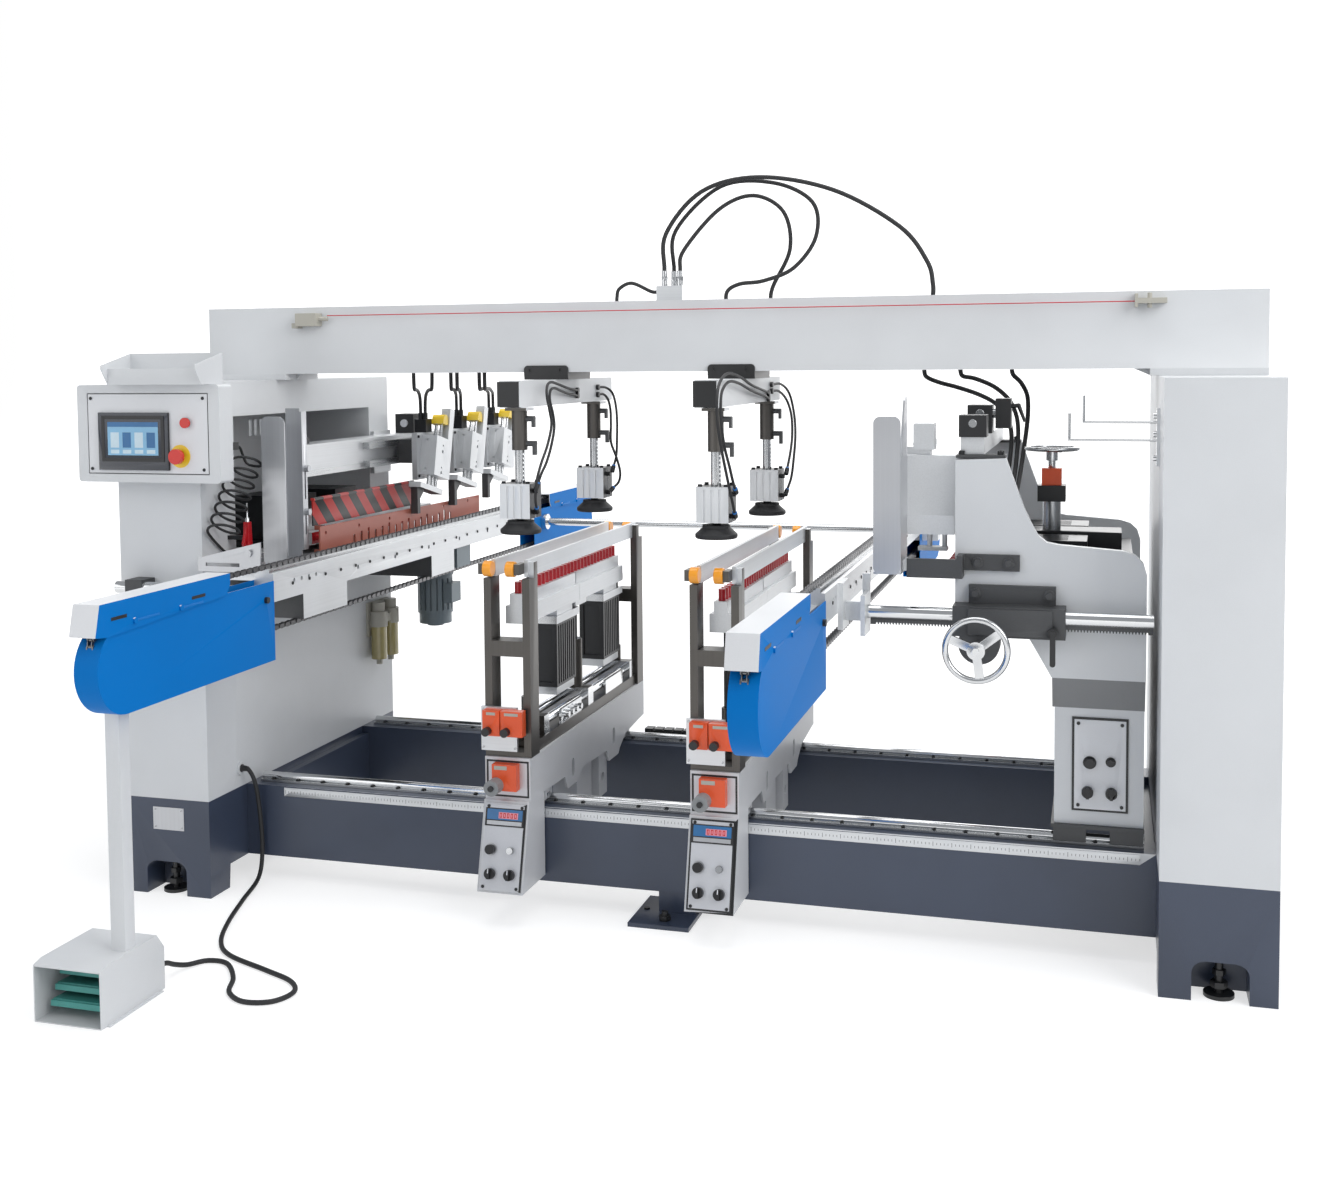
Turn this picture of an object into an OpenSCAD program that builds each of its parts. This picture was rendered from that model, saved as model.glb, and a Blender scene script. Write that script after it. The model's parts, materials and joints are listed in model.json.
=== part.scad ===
/* [Overall] */
// Width over the outer faces of the two pillars
machine_w = 3210; // [3190:5:3230]
// Width of one pillar
pillar_w = 277; // [270:1:284]
// Depth of one pillar, front to back
pillar_d = 1210; // [1200:5:1220]
// Height of the pillars
pillar_h = 1523; // [1515:1:1530]
// Height over the top of the gantry beam
gantry_top = 1750; // [1730:5:1770]
// Height of the gantry beam section
gantry_h = 208; // [200:1:212]

/* [Base and rails] */
// Top of the two long base beams
base_top = 290; // [288:1:292]
// Underside of the base beams above the floor
base_gap = 72; // [60:1:80]
// Diameter of the linear guide shafts
shaft_d = 25; // [22:1:26]

/* [Drilling heads] */
// Distance between neighbouring spindles
spindle_pitch = 32; // [30:1:32]
// Spindles in one vertical row
spindle_count = 28; // [20:2:28]
// Diameter of a spindle chuck
chuck_d = 20; // [16:1:24]
// Centre of the first middle head
head_a_x = 1185; // [1160:5:1210]
// Centre of the second middle head
head_b_x = 1787; // [1770:5:1800]

/* [Presses] */
// Centre of the first press arm
arm_a_x = 1187; // [1160:5:1210]
// Centre of the second press arm
arm_b_x = 1757; // [1740:5:1770]
// Diameter of a rubber press foot
foot_d = 116; // [90:2:120]

/* [Conveyors] */
// Working height, top of the conveyor chains
work_z = 1012; // [1008:1:1014]
// Width of one conveyor beam and its covers
conveyor_w = 65; // [60:1:68]

/* [Controls] */
// Width of the control cabinet
cabinet_w = 471; // [440:1:480]
// Diameter of the rack handwheel
wheel_d = 172; // [160:2:180]
// Diameter of the pedal cable
cord_d = 13; // [11:1:14]

/* [Hidden] */
$fn = 48;
eps = 0.01;
gap = 0.3;
centre_x = 1563.5;
centre_y = 904.5;
pillar_x = machine_w - pillar_w;
head_right = pillar_x - 30;
gantry_z = gantry_top - gantry_h;
gantry_y = [440, 630];
front_rail_y = 262;
rear_rail_y = 1020;
beam_front_y = [207, 312];
beam_rear_y = [965, 1070];
rail_top = 316.5;
body_half = 68;
carriage_top = 459;
row_y = 190;
chuck_z = 912;
press_y = [150, 800];
arm_z = [1445, 1520];
arm_y = [128, 965];
press_dx = 25;
left_conv_x = [495, 560];
right_conv_x = [2060, 2125];
conv_y = [-871, 2680];
beam_y = [-85, 1950];
sprocket_z = 913;
sprocket_r = 84;
front_sprocket_y = -759;
rear_sprocket_y = 2568;
rack_y = 150;
rack_z = 905;
rack_d = 36;
rack_module = 2.5;
rack_pitch = 3.1416 * rack_module;
pinion_teeth = 33;
pinion_r = pinion_teeth * rack_module / 2;
wheel_x = head_right - 416;
wheel_z = 833;
rack_line = wheel_z + pinion_r;
fit = 0.16;
tie_y = 2050;
tie_z = 911;
row_len = (spindle_count - 1) * spindle_pitch;
row_mid = row_y + row_len / 2;
post_pair = [[[88, 140], 102], [[1141, 1193], 1179]];

// Routes of the hoses and cables, all in machine coordinates
pedal_route = [[262, 172, 347], [286, 172, 347], [306, 172, 344], [326, 176, 300], [334, 186, 200], [336, 190, 90],
    [345, 150, 20], [383, 0, 7], [440, -170, 7], [500, -300, 7], [575, -378, 7], [719, -441, 7],
    [818, -487, 7], [862, -545, 7], [840, -610, 7], [770, -630, 7], [705, -588, 7], [667, -508, 7],
    [600, -430, 7], [540, -425, 7], [508, -470, 10], [499, -512, 26], [498, -546, 43], [498, -570, 46],
    [498, -592, 46]];
hose_peak = [[1534, 520, 1838], [1540, 520, 1950], [1650, 520, 2070], [1822, 520, 2105],
    [2040, 520, 2060], [2230, 520, 1950], [2308, 520, 1850], [2325, 520, 1785], [2325, 520, 1742]];
hose_loop = [[1556, 548, 1838], [1562, 548, 1960], [1700, 548, 2085], [1860, 548, 2090],
    [1975, 548, 2030], [1985, 548, 1930], [1920, 548, 1842], [1830, 548, 1806], [1758, 548, 1798],
    [1720, 548, 1778], [1714, 548, 1742]];
hose_inner = [[1578, 534, 1838], [1590, 534, 1900], [1690, 566, 2020], [1790, 590, 2060],
    [1880, 590, 2010], [1900, 590, 1900], [1848, 590, 1790], [1840, 590, 1742]];
hose_side = [[1504, 560, 1780], [1480, 560, 1782], [1420, 560, 1808], [1380, 560, 1792],
    [1372, 560, 1766], [1372, 560, 1742]];
clamp_drops = [[674, 441, 1142], [738, 459, 1142], [803, 441, 1457], [824, 459, 1457],
    [900, 441, 1772], [918, 459, 1772]];
drop_bend = 52;
drop_sag = [[0.05, 1486], [0.15, 1485], [0.4, 1483], [0.7, 1477], [1, 1464]];
drop_end = [[60, 1453], [33, 1443], [18, 1434], [5, 1417], [0, 1396], [0, 1382]];
coil_turns = 6.75;
coil_r = 44;
coil_tube = 8;
coil_top = [331, 165, 1290];
coil_end = [331, 22, 1078];
coil_lead = [[288, 172, 1329], [288, 182, 1329], [288, 199, 1320], [290, 208, 1300], [297, 210, 1281],
    [313, 206, 1269]];
coil_tail = [[286, 60, 1048], [286, 100, 1020], [288, 128, 1004], [296, 141, 1000], [305, 142, 1000],
    [315, 142, 1000]];

// Clamp units on the left side
clamp_y = [1156, 1471, 1786];
clamp_z = 1233;
clamp_x = [459, 520];
clamp_tilt = 13.5;
clamp_bar_y = [440, 2000];

// Node names, one module for each

// Shared helpers
function unit(v) = v / norm(v);
function spline(a, b, c, d, t) =
    0.5 * (2 * b + (c - a) * t + (2 * a - 5 * b + 4 * c - d) * t * t
    + (3 * b - a - 3 * c + d) * t * t * t);
function smooth(p, n) = let (m = len(p) - 1) concat([for (i = [0:m - 1]) for (k = [0:n - 1])
    spline(p[max(i - 1, 0)], p[i], p[i + 1], p[min(i + 2, m)], k / n)], [p[m]]);
function heading(p, i) = unit(p[min(i + 1, len(p) - 1)] - p[max(i - 1, 0)]);
function side_of(t) = unit(abs(t[2]) < 0.9 ? cross(t, [0, 0, 1]) : cross(t, [0, 1, 0]));
function square_to(u, t) = unit(u - (u * t) * t);

// Route of one hose from the underside of the gantry, at d[0], to a clamp unit at [d[1], d[2]]
function clamp_drop(d) = let (a = [d[0], 600], e = [d[1], d[2]], way = unit(e - a), far = norm(e - a))
    concat([[a[0], a[1], 1562], [a[0], a[1], 1551]],
    [for (t = [0:30:90]) [each (a + way * drop_bend * (1 - cos(t))), 1540 - drop_bend * sin(t)]],
    [for (k = drop_sag) [each (a + way * (drop_bend + (0.8 * far - drop_bend) * k[0])), k[1]]],
    [for (k = drop_end) [each (e - way * k[0]), k[1]]]);

module place() translate([-centre_x, -centre_y, 0]) children();

module slab(x, y, z) translate([x[0], y[0], z[0]]) cube([x[1] - x[0], y[1] - y[0], z[1] - z[0]]);

module rod_x(x, y, z, d) translate([x[0], y, z]) rotate([0, 90, 0]) cylinder(d = d, h = x[1] - x[0]);

module rod_y(x, y, z, d) translate([x, y[1], z]) rotate([90, 0, 0]) cylinder(d = d, h = y[1] - y[0]);

module rod_z(x, y, z, d) translate([x, y, z[0]]) cylinder(d = d, h = z[1] - z[0]);

module prism_x(x) translate([x[0], 0, 0]) rotate([90, 0, 90]) linear_extrude(x[1] - x[0]) children();

module prism_y(y) translate([0, y[1], 0]) rotate([90, 0, 0]) linear_extrude(y[1] - y[0]) children();

module rounded(w, h, r) {
    translate([r, 0]) square([w - 2 * r, h]);
    translate([0, r]) square([w, h - 2 * r]);
    for (a = [r, w - r]) for (b = [r, h - r]) translate([a, b]) circle(r);
}

module tube(path, d, sides) {
    n = len(path);
    frames = [for (i = 0, u = side_of(heading(path, 0)); i < n;
        i = i + 1, u = square_to(u, heading(path, min(i, n - 1)))) u];
    points = [for (i = [0:n - 1]) for (k = [0:sides - 1])
        let (a = 360 * k / sides, t = heading(path, i))
        path[i] + d / 2 * (cos(a) * frames[i] + sin(a) * cross(t, frames[i]))];
    walls = [for (i = [0:n - 2]) for (k = [0:sides - 1]) for (half = [0, 1])
        let (j = (k + 1) % sides, low = i * sides, high = low + sides)
        half == 0 ? [low + k, high + k, high + j] : [low + k, high + j, low + j]];
    ends = [[for (k = [0:sides - 1]) k], [for (k = [sides - 1:-1:0]) (n - 1) * sides + k]];
    polyhedron(points, concat(walls, ends), convexity = 10);
}

// Frame

module scale_rule() {
    difference() {
        slab([pillar_w + 130, pillar_x - 40], [beam_front_y[0] - 2.2, beam_front_y[0] + eps],
            [base_top - 30, base_top - 4]);
        for (k = [0:11]) rod_y(pillar_w + 160 + 200 * k, [beam_front_y[0] - 4, beam_front_y[0] - 1.2],
            base_top - 10, 5);
    }
}

module energy_chain() {
    y = [beam_rear_y[1] + 6, beam_rear_y[1] + 44];
    slab([700, 2500], [beam_rear_y[1] - eps, y[1] + 6], [base_top - 8, base_top - 4]);
    slab([1290, 1730], [y[0] + 4, y[1] - 4], [base_top - 4 - eps, base_top + 20]);
    for (k = [0:12]) slab([1290 + 34 * k, 1318 + 34 * k], y, [base_top - 4 - eps, base_top + 26]);
}

module base_frame() color("#3a4257") {
    x = [pillar_w + gap, pillar_x - gap];
    for (y = [beam_front_y, beam_rear_y]) {
        slab(x, y, [base_gap, base_top]);
        slab([1592, 1700], [y[0] + 3, y[1] - 3], [11, base_gap + eps]);
    }
    for (a = [[x[0], x[0] + 24], [x[1] - 24, x[1]]])
        slab(a, [beam_front_y[1] - eps, beam_rear_y[0] + eps], [base_gap + 4, base_top - 24]);
    slab([1600, 1692], [beam_front_y[1] - eps, beam_rear_y[0] + eps], [base_gap + 4, 122]);
    slab([1530, 1706], [108, 330], [0, 12]);
    slab([1530, 1706], [948, 1170], [0, 12]);
    scale_rule();
    energy_chain();
}

module pillar_side() {
    foot = 102;
    lift = 71;
    polygon([[0, 0], [foot, 0], [foot + 6, lift], [pillar_d - foot - 6, lift],
        [pillar_d - foot, 0], [pillar_d, 0], [pillar_d, pillar_h], [0, pillar_h]]);
}

module foot_arch(x, y) {
    prism_y(y) union() {
        translate([x[0], -1]) square([x[1] - x[0], 70]);
        translate([x[0] + 30, 60]) square([x[1] - x[0] - 60, 40]);
        for (a = [x[0] + 30, x[1] - 30]) translate([a, 70 - 1]) circle(30);
    }
}

module left_pillar() color("#dfe1e3") {
    skin = 14;
    difference() {
        union() {
            prism_x([0, pillar_w]) pillar_side();
            rod_x([pillar_w - 1, pillar_w + 6], 172, 347, 40);
        }
        slab([skin, pillar_w + 1], [181, 1061], [985, 1417]);
        foot_arch([62, 196], [-1, 90]);
        foot_arch([62, 196], [pillar_d - 90, pillar_d + 1]);
        for (k = [0:4]) slab([-1, skin + 1], [700 + 34 * k, 718 + 34 * k], [1330, 1385]);
        rod_x([pillar_w - 20, pillar_w + 7], 172, 347, cord_d + 2);
    }
}

module right_pillar() color("#dfe1e3") {
    difference() {
        translate([pillar_x, 0, 0]) prism_x([0, pillar_w]) pillar_side();
        foot_arch([pillar_x + 77, pillar_x + 211], [-1, 90]);
        foot_arch([pillar_x + 77, pillar_x + 211], [pillar_d - 90, pillar_d + 1]);
    }
    slab([pillar_x - 8, pillar_x + eps], [280, 320], [1290, 1440]);
    for (z = [1310, 1372, 1420]) rod_x([pillar_x - 16, pillar_x - 7], 300, z, 16);
    for (k = [0, 1]) {
        wire_y = 290 + 20 * k;
        wire_z = 1357 + 46 * k;
        reach = 2703 + 36 * k;
        rod_x([reach, pillar_x - 7], wire_y, wire_z, 7);
        rod_z(reach + 3.5, wire_y, [wire_z - 3.5, wire_z + 70], 7);
    }
}

module gantry_beam() color("#dfe1e3") {
    x = [37, machine_w - 1];
    difference() {
        slab(x, gantry_y, [gantry_z, gantry_top]);
        for (a = [x[0] - 1, x[1] - 5]) slab([a, a + 6], [gantry_y[0] + 8, gantry_y[1] - 8],
            [gantry_z + 8, gantry_top - 8]);
        for (a = [1372, 1714, 1840, 2325]) rod_z(a, a == 2325 ? 520 : a == 1714 ? 548 : a == 1840
            ? 590 : 560, [gantry_top - 40, gantry_top + 1], 16);
        for (d = clamp_drops) rod_z(d[0], 600, [gantry_z - 1, gantry_z + 30], 16);
    }
    slab([37, 313], [gantry_y[0] - 6, gantry_y[1] + 6], [pillar_h + gap, gantry_z + eps]);
    slab([pillar_x - 22, x[1]], [gantry_y[0] - 6, gantry_y[1] + 6], [pillar_h + gap, gantry_z + eps]);
    for (a = [330, 2870]) prism_y([gantry_y[0] + 60, gantry_y[0] + 80])
        polygon([[a < 1000 ? 313 - eps : 2911 + eps, pillar_h + 1], [a < 1000 ? 313 - eps : 2911 + eps,
        gantry_z + eps], [a, gantry_z + eps]]);
}

module guide_rails() color("#b9bdc2") {
    x = [pillar_w + 30, pillar_x - 30];
    for (y = [front_rail_y, rear_rail_y]) {
        slab(x, [y - 24, y + 24], [base_top + gap, base_top + 8]);
        slab(x, [y - 7, y + 7], [base_top + 7, base_top + 18]);
        rod_x(x, y, rail_top - shaft_d / 2, shaft_d);
    }
}

module levelling_feet() color("#2c2d2f") {
    spots = [[129, 48], [129, pillar_d - 48], [pillar_x + 144, 48], [pillar_x + 144, pillar_d - 48]];
    for (p = spots) {
        rod_z(p[0], p[1], [0, 10], 74);
        rod_z(p[0], p[1], [9, 99.8], 20);
        translate([p[0], p[1], 22]) cylinder(d = 42, h = 16, $fn = 6);
        translate([p[0], p[1], 54]) cylinder(d = 32, h = 14, $fn = 6);
    }
    for (y = [152, 1128]) {
        translate([1626, y, 12 + gap]) cylinder(d = 34, h = 14, $fn = 6);
        rod_z(1626, y, [20, 38], 18);
    }
}

// Controls on the left pillar

module control_cabinet() color("#dfe1e3") {
    x = [-83, -83 + cabinet_w];
    z = [1235, 1517];
    y = [-68, -gap];
    difference() {
        prism_y(y) translate([x[0], z[0]]) rounded(x[1] - x[0], z[1] - z[0], 10);
        slab([x[0] + 34, x[1] - 36], [y[0] - 1, y[0] + 5], [z[0] + 24, z[1] - 24]);
        rod_y(281, [y[0] - 1, -40], 1408, 24);
        rod_y(258, [y[0] - 1, -40], 1312, 24);
    }
}

module control_plate() color("#c9ccce") {
    x = [-46, cabinet_w - 122];
    z = [1262, 1490];
    y = -63 - gap;
    difference() {
        union() {
            slab(x, [y - 4, y], z);
            slab([-8, 224], [y - 12, y - 3], [1271, 1437]);
            slab([4, 212], [y - 14, y - 11], [1296, 1428]);
            for (a = [x[0] + 12, x[1] - 12]) for (b = [z[0] + 12, z[1] - 12]) rod_y(a, [y - 7, y - 3], b, 10);
        }
        rod_y(281, [y - 20, y + 1], 1408, 24);
        rod_y(258, [y - 20, y + 1], 1312, 24);
        slab([14, 202], [y - 15, y - 13], [1306, 1418]);
    }
}

module start_button() color("#c01f1f") {
    rod_y(281, [-66, -46], 1408, 20);
    rod_y(281, [-81, -71], 1408, 30);
    rod_y(281, [-72, -65], 1408, 20);
}

module stop_button() color("#c01f1f") {
    rod_y(258, [-80, -46], 1312, 20);
    rod_y(258, [-96, -79], 1312, 44);
}

module tool_shelf() color("#dfe1e3") {
    x = [52, 360];
    y = [-110, 60];
    z = 1517 + gap;
    difference() {
        slab(x, [y[0], -gap], [z, z + 3]);
        for (i = [0:9]) for (k = [0:2]) rod_z(x[0] + 24 + 29 * i, y[0] + 20 + 28 * k, [z - 1, z + 4], 12);
    }
    slab(x, [-gap - 2, -gap], [z, z + 90]);
    for (a = [x[0], x[1] - 3]) prism_x([a, a + 3])
        polygon([[y[0], z], [-gap, z], [-gap, z + 90], [y[0] - 30, z + 56], [y[0] - 30, z + 44]]);
    slab(x, [y[0] - 2, y[0]], [z, z + 46]);
}

module cord_switch() color("#8b8f93") {
    y = gantry_y[0] - gap;
    slab([368, 440], [y - 40, y], [1690, 1730]);
    rod_x([420, 470], y - 20, 1712, 14);
    slab([350, 372], [y - 30, y], [1684, 1700]);
    slab([2870, 2952], [y - 34, y], [1716, 1730]);
    slab([2870, 2878], [y - 34, y], [1706, 1742]);
    rod_z(2908, y - 20, [1704, 1744], 12);
    rod_x([469, 2872], y - 20, 1722, 3);
}

module hose_block() color("#c9c6ba") {
    slab([1514, 1594], [500, 580], [gantry_top + gap, 1795]);
    for (p = [[1534, 520], [1556, 548], [1578, 534]]) {
        rod_z(p[0], p[1], [1794, 1812], 18);
        translate([p[0], p[1], 1811]) cylinder(d = 20, h = 12, $fn = 6);
        difference() {
            rod_z(p[0], p[1], [1822, 1840], 17);
            rod_z(p[0], p[1], [1832, 1841], 15);
        }
    }
    difference() {
        rod_x([1500, 1515], 560, 1780, 18);
        rod_x([1499, 1508], 560, 1780, 13);
    }
}

module gantry_hoses() color("#232427") {
    tube(smooth(hose_peak, 6), 13, 10);
    tube(smooth(hose_loop, 6), 12, 10);
    tube(smooth(hose_inner, 6), 12, 10);
    tube(smooth(hose_side, 6), 11, 10);
    for (d = clamp_drops) tube(smooth(clamp_drop(d), 2), 12, 8);
}

// Guide bars that carry the conveyors

module guide_bars() color("#c6cace") {
    rod_x([20, left_conv_x[0] - 4 - gap], -45, 925, 36);
    slab([60, 116], [-66, -gap], [900, 950]);
    rod_x([left_conv_x[1] + gap, 2300], tie_y, tie_z, 30);
    translate([left_conv_x[1] + gap, tie_y, tie_z]) rotate([0, 90, 0]) cylinder(d = 64, h = 22);
}

// Conveyors

module conveyor_beam(x) {
    z = [905, 985];
    mid = (x[0] + x[1]) / 2;
    ends = [[front_sprocket_y, -24, 130], [rear_sprocket_y, -110, 24]];
    difference() {
        slab([x[0] + 2, x[1] - 1.5], beam_y, z);
        for (k = [0:3]) rod_x([x[0] + 40, x[1] + 1], 30 + 42 * k, 952, 12);
        for (k = [0:5]) rod_x([x[0] + 40, x[1] + 1], 420 + 260 * k, 938, 14);
    }
    slab([x[0] + 14, x[1] - 14], beam_y, [z[1] - eps, work_z - 14]);
    slab([x[0] + 20, x[1] - 20], [-650, beam_y[0] + 1], [z[0] + 20, z[0] + 50]);
    slab([x[0] + 20, x[1] - 20], [beam_y[1] - 1, 2470], [z[0] + 20, z[0] + 50]);
    for (e = ends) difference() {
        union() {
            for (a = [x[0] + 4, x[1] - 12]) slab([a, a + 8], [e[0] + e[1], e[0] + e[2]], [890, 960]);
            slab([x[0] + 11, x[1] - 11], e[1] < -50 ? [e[0] - 110, e[0] - 92] : [e[0] + 100, e[0] + 130],
                [895, 956]);
        }
        rod_x([x[0], x[1]], e[0], sprocket_z, 16.16);
    }
    rod_x([mid - 5, mid + 5], rear_sprocket_y, sprocket_z, 2 * sprocket_r);
    rod_x([x[0] + 4, x[1] - 4], rear_sprocket_y, sprocket_z, 17);
}

module left_conveyor() color("#c3c6c9") {
    x = left_conv_x;
    conveyor_beam(x);
    for (y = [[79, 345], [960, 1150]]) slab([pillar_w + gap, x[1] - 1.5], y, [831, 905 + eps]);
    prism_y([150, 170]) polygon([[pillar_w + gap, 832], [pillar_w + gap, 740], [pillar_w + 100, 832]]);
    slab([pillar_w + gap, x[0] + 3], [70, 1150], [905, 925]);
    slab([x[0] - 4, x[0] + 3], [-70, -20], [900, 950]);
    slab([pillar_w + 20, x[0] + 3], [181, 1500], [960, 978]);
    slab([400, x[0] + 3], [-60, 182], [960, 978]);
}

module cover_side(sign, end_y, stop_y, wall) {
    r = 112 - wall;
    c = end_y - sign * 112;
    z = [742 + wall, 966 - wall];
    translate([c, 854]) circle(r);
    polygon([[c, z[0]], [stop_y - sign * wall * 2, z[0]], [stop_y - sign * wall * 2, z[1]], [c, z[1]]]);
}

module cap(x, y) {
    front = y[0] < 0;
    nose = front ? y[0] : y[1];
    tail = front ? y[1] : y[0];
    lean = front ? 18 : -18;
    z = [944, work_z + 7];
    for (a = [x[0] - 3.5, x[1] + 0.5]) prism_x([a, a + 3]) polygon([[nose, z[0]], [nose + lean, z[1]],
        [tail, z[1]], [tail, z[1] - 30], [tail - lean, z[0] + 18], [nose + 2.4 * lean, z[0] - 6]]);
    prism_x([x[0] - 1, x[1] + 1]) polygon([[nose, z[0]], [nose + lean, z[1]], [tail, z[1]],
        [tail, z[1] - 3], [nose + lean * 1.15, z[1] - 3], [nose + lean / 6, z[0]]]);
    for (k = [0, 1]) {
        rod_x([x[1] + 3.4, x[1] + 8], y[0] + 150 + 190 * k, 962, 15);
        slab([x[1] + 3.4, x[1] + 4.4], [y[0] + 156 + 190 * k, y[0] + 250 + 190 * k], [959, 965]);
    }
}

module covers(x, tie_hole) {
    for (s = [[-1, conv_y[0], beam_y[0] - gap], [1, conv_y[1], beam_y[1] + gap]]) difference() {
        prism_x([x[0], x[1]]) cover_side(s[0], s[1], s[2], 0);
        prism_x([x[0] + 2.5, x[1] - 2.5]) cover_side(s[0], s[1], s[2], 2.5);
        slab([x[0] + 2.5, x[1] - 2.5], s[0] < 0 ? [conv_y[0] - 1, beam_y[0]] : [beam_y[1], conv_y[1] + 1],
            [900, 970]);
        if (tie_hole) slab([x[0] - 1, x[1] + 1], [tie_y - 37, tie_y + 37], [870, 944]);
    }
    cap(x, [-880, -312]);
    cap(x, [2121, 2689]);
    rod_x([x[1] - eps, x[1] + 9], -130, 918, 18);
}

module left_covers() color("#0a72c4") covers(left_conv_x, false);

module chain_loop(x) {
    mid = (x[0] + x[1]) / 2;
    outer = work_z - 6 - sprocket_z;
    prism_x([mid - 9, mid + 9]) difference() {
        union() {
            for (y = [front_sprocket_y, rear_sprocket_y]) translate([y, sprocket_z]) circle(outer);
            translate([front_sprocket_y, sprocket_z - outer])
                square([rear_sprocket_y - front_sprocket_y, 2 * outer]);
        }
        union() {
            for (y = [front_sprocket_y, rear_sprocket_y]) translate([y, sprocket_z])
                circle(outer - 7);
            translate([front_sprocket_y, sprocket_z - outer + 7])
                square([rear_sprocket_y - front_sprocket_y, 2 * outer - 14]);
        }
    }
}

module left_chain() color("#6d6f72") {
    chain_loop(left_conv_x);
    for (y = [-560:160:2400]) slab([left_conv_x[0] + 20, left_conv_x[1] - 20], [y, y + 26],
        [work_z - 6 - eps, work_z]);
}

module sprocket(x, y) {
    mid = (x[0] + x[1]) / 2;
    teeth = 20;
    difference() {
        union() {
            rod_x([mid - 4, mid + 4], y, sprocket_z, 2 * sprocket_r - 6);
            for (k = [0:teeth - 1]) translate([mid - 3, y, sprocket_z]) rotate([k * 360 / teeth, 0, 0])
                translate([0, -5, sprocket_r - 5]) cube([6, 10, 6]);
            rod_x([mid - 9, mid + 9], y, sprocket_z, 46);
            rod_x([x[0] + 3, x[1] - 3], y, sprocket_z, 16);
        }
        for (k = [0:4]) translate([mid, y, sprocket_z]) rotate([72 * k, 0, 0]) translate([-10, 0, 50])
            rotate([0, 90, 0]) cylinder(d = 26, h = 20);
    }
}

module left_sprocket() color("#8b8f93") sprocket(left_conv_x, front_sprocket_y);

module drive_motor() color("#7d8a92") {
    c = [438, 1246];
    body = 128;
    difference() {
        rod_z(c[0], c[1], [660, 800], body);
        for (k = [0:17]) translate([c[0], c[1], 672]) rotate([0, 0, 20 * k])
            translate([body / 2 - 9, -3, 0]) cube([12, 6, 116]);
    }
    rod_z(c[0], c[1], [622, 661], body - 10);
    rod_z(c[0], c[1], [799, 824], body + 8);
    slab([c[0] - 56, c[0] + 62], [c[1] - 60, c[1] + 60], [823, 846]);
    slab([c[0] - 56, left_conv_x[1] - 6], [c[1] - 60, c[1] + 60], [832, 905]);
    slab([c[0] + 50, c[0] + 84], [c[1] - 40, c[1] + 40], [700, 770]);
    rod_z(c[0], c[1], [612, 623], 60);
}

// Left drilling side

module left_fence() color("#b9bdc2") {
    z = [985, 1418];
    slab([390, 468], [148, 152], [z[0] + 0, z[1] - 24]);
    prism_y([148, 152]) translate([390, z[1] - 60]) rounded(78, 60, 22);
    slab([390, 394], [151, 290], [z[0], z[1] - 30]);
    slab([393, 440], [286, 290], [z[0], z[1] + 20]);
    difference() {
        slab([439, 447], [286, 316], [z[0] + 20, z[1] + 10]);
        for (s = [[1050, 1130], [1160, 1262]]) slab([438, 448], [298, 306], s);
    }
    for (b = [1120, 1253]) rod_x([446.9, 462], 302, b, 20);
    slab([392, 470], [151, 300], [978, z[0] + 1]);
    difference() {
        prism_y([-34, -28]) polygon([[284, 978], [462, 978], [488, 1000], [488, 1066], [284, 1016]]);
        slab([310, 420], [-36, -26], [994, 1004]);
    }
    slab([402, 488], [-29, 60], [978, 990]);
    rod_y(452, [-42, -33], 1034, 22);
}

module left_guard() color("#b4552f") {
    difference() {
        prism_x([466, 471]) polygon([[344, 994], [1590, 994], [1590, 1060], [344, 1070]]);
        for (k = [0:15]) slab([465, 472], [560 + 50 * k, 574 + 50 * k], [993, 1022 + 6 * (k % 3)]);
        for (k = [0:5]) rod_x([465, 472], 380 + 220 * k, 1048, 12);
    }
    slab([440, 444], [350, 1062], [1071, 1150]);
    slab([437, 449], [350, 1062], [1150 - eps, 1158]);
    slab([442, 467], [360, 380], [1058, 1072]);
    slab([442, 467], [1040, 1060], [1052, 1072]);
    for (y = [360, 1180, 1500]) slab([440, 467], [y, y + 18], [978, 996]);
}

module clamp_frame(y) translate([0, y, clamp_z]) rotate([-clamp_tilt, 0, 0]) children();

module press_unit(y) {
    mid = (clamp_x[0] + clamp_x[1]) / 2;
    slab([380, 440 + eps], [y - 85, y + 45], [1218, 1302]);
    slab([440, clamp_x[0] + 1], [y - 90, y + 70], [1159, 1325]);
    slab([428, 472], [y - 38, y + 10], [1325 - eps, 1372]);
    for (a = [441, 459]) difference() {
        rod_z(a, y - 14, [1372 - eps, 1394], 17);
        rod_z(a, y - 14, [1380, 1395], 14);
    }
    clamp_frame(y) {
        difference() {
            slab(clamp_x, [-65, 65], [-71, 71]);
            for (a = [-42, -12, 18]) rod_z(mid, a, [-72, -4], 17);
            for (a = [-52, 54]) rod_y(mid - 4, [-66, -60], a, 9);
            for (p = [[42, 8], [20, 13], [-38, 8], [-56, 12]]) rod_x([clamp_x[1] - 6, clamp_x[1] + 1], -8,
                p[0], p[1]);
        }
        for (a = [480, 500]) rod_z(a, 5, [71 - eps, 123], 11);
        slab([464, 516], [-15, 25], [122, 138]);
        rod_x([470, 516], 5, 141, 34);
        slab([486, clamp_x[1]], [28, 65], [71 - eps, 185]);
    }
}

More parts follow.
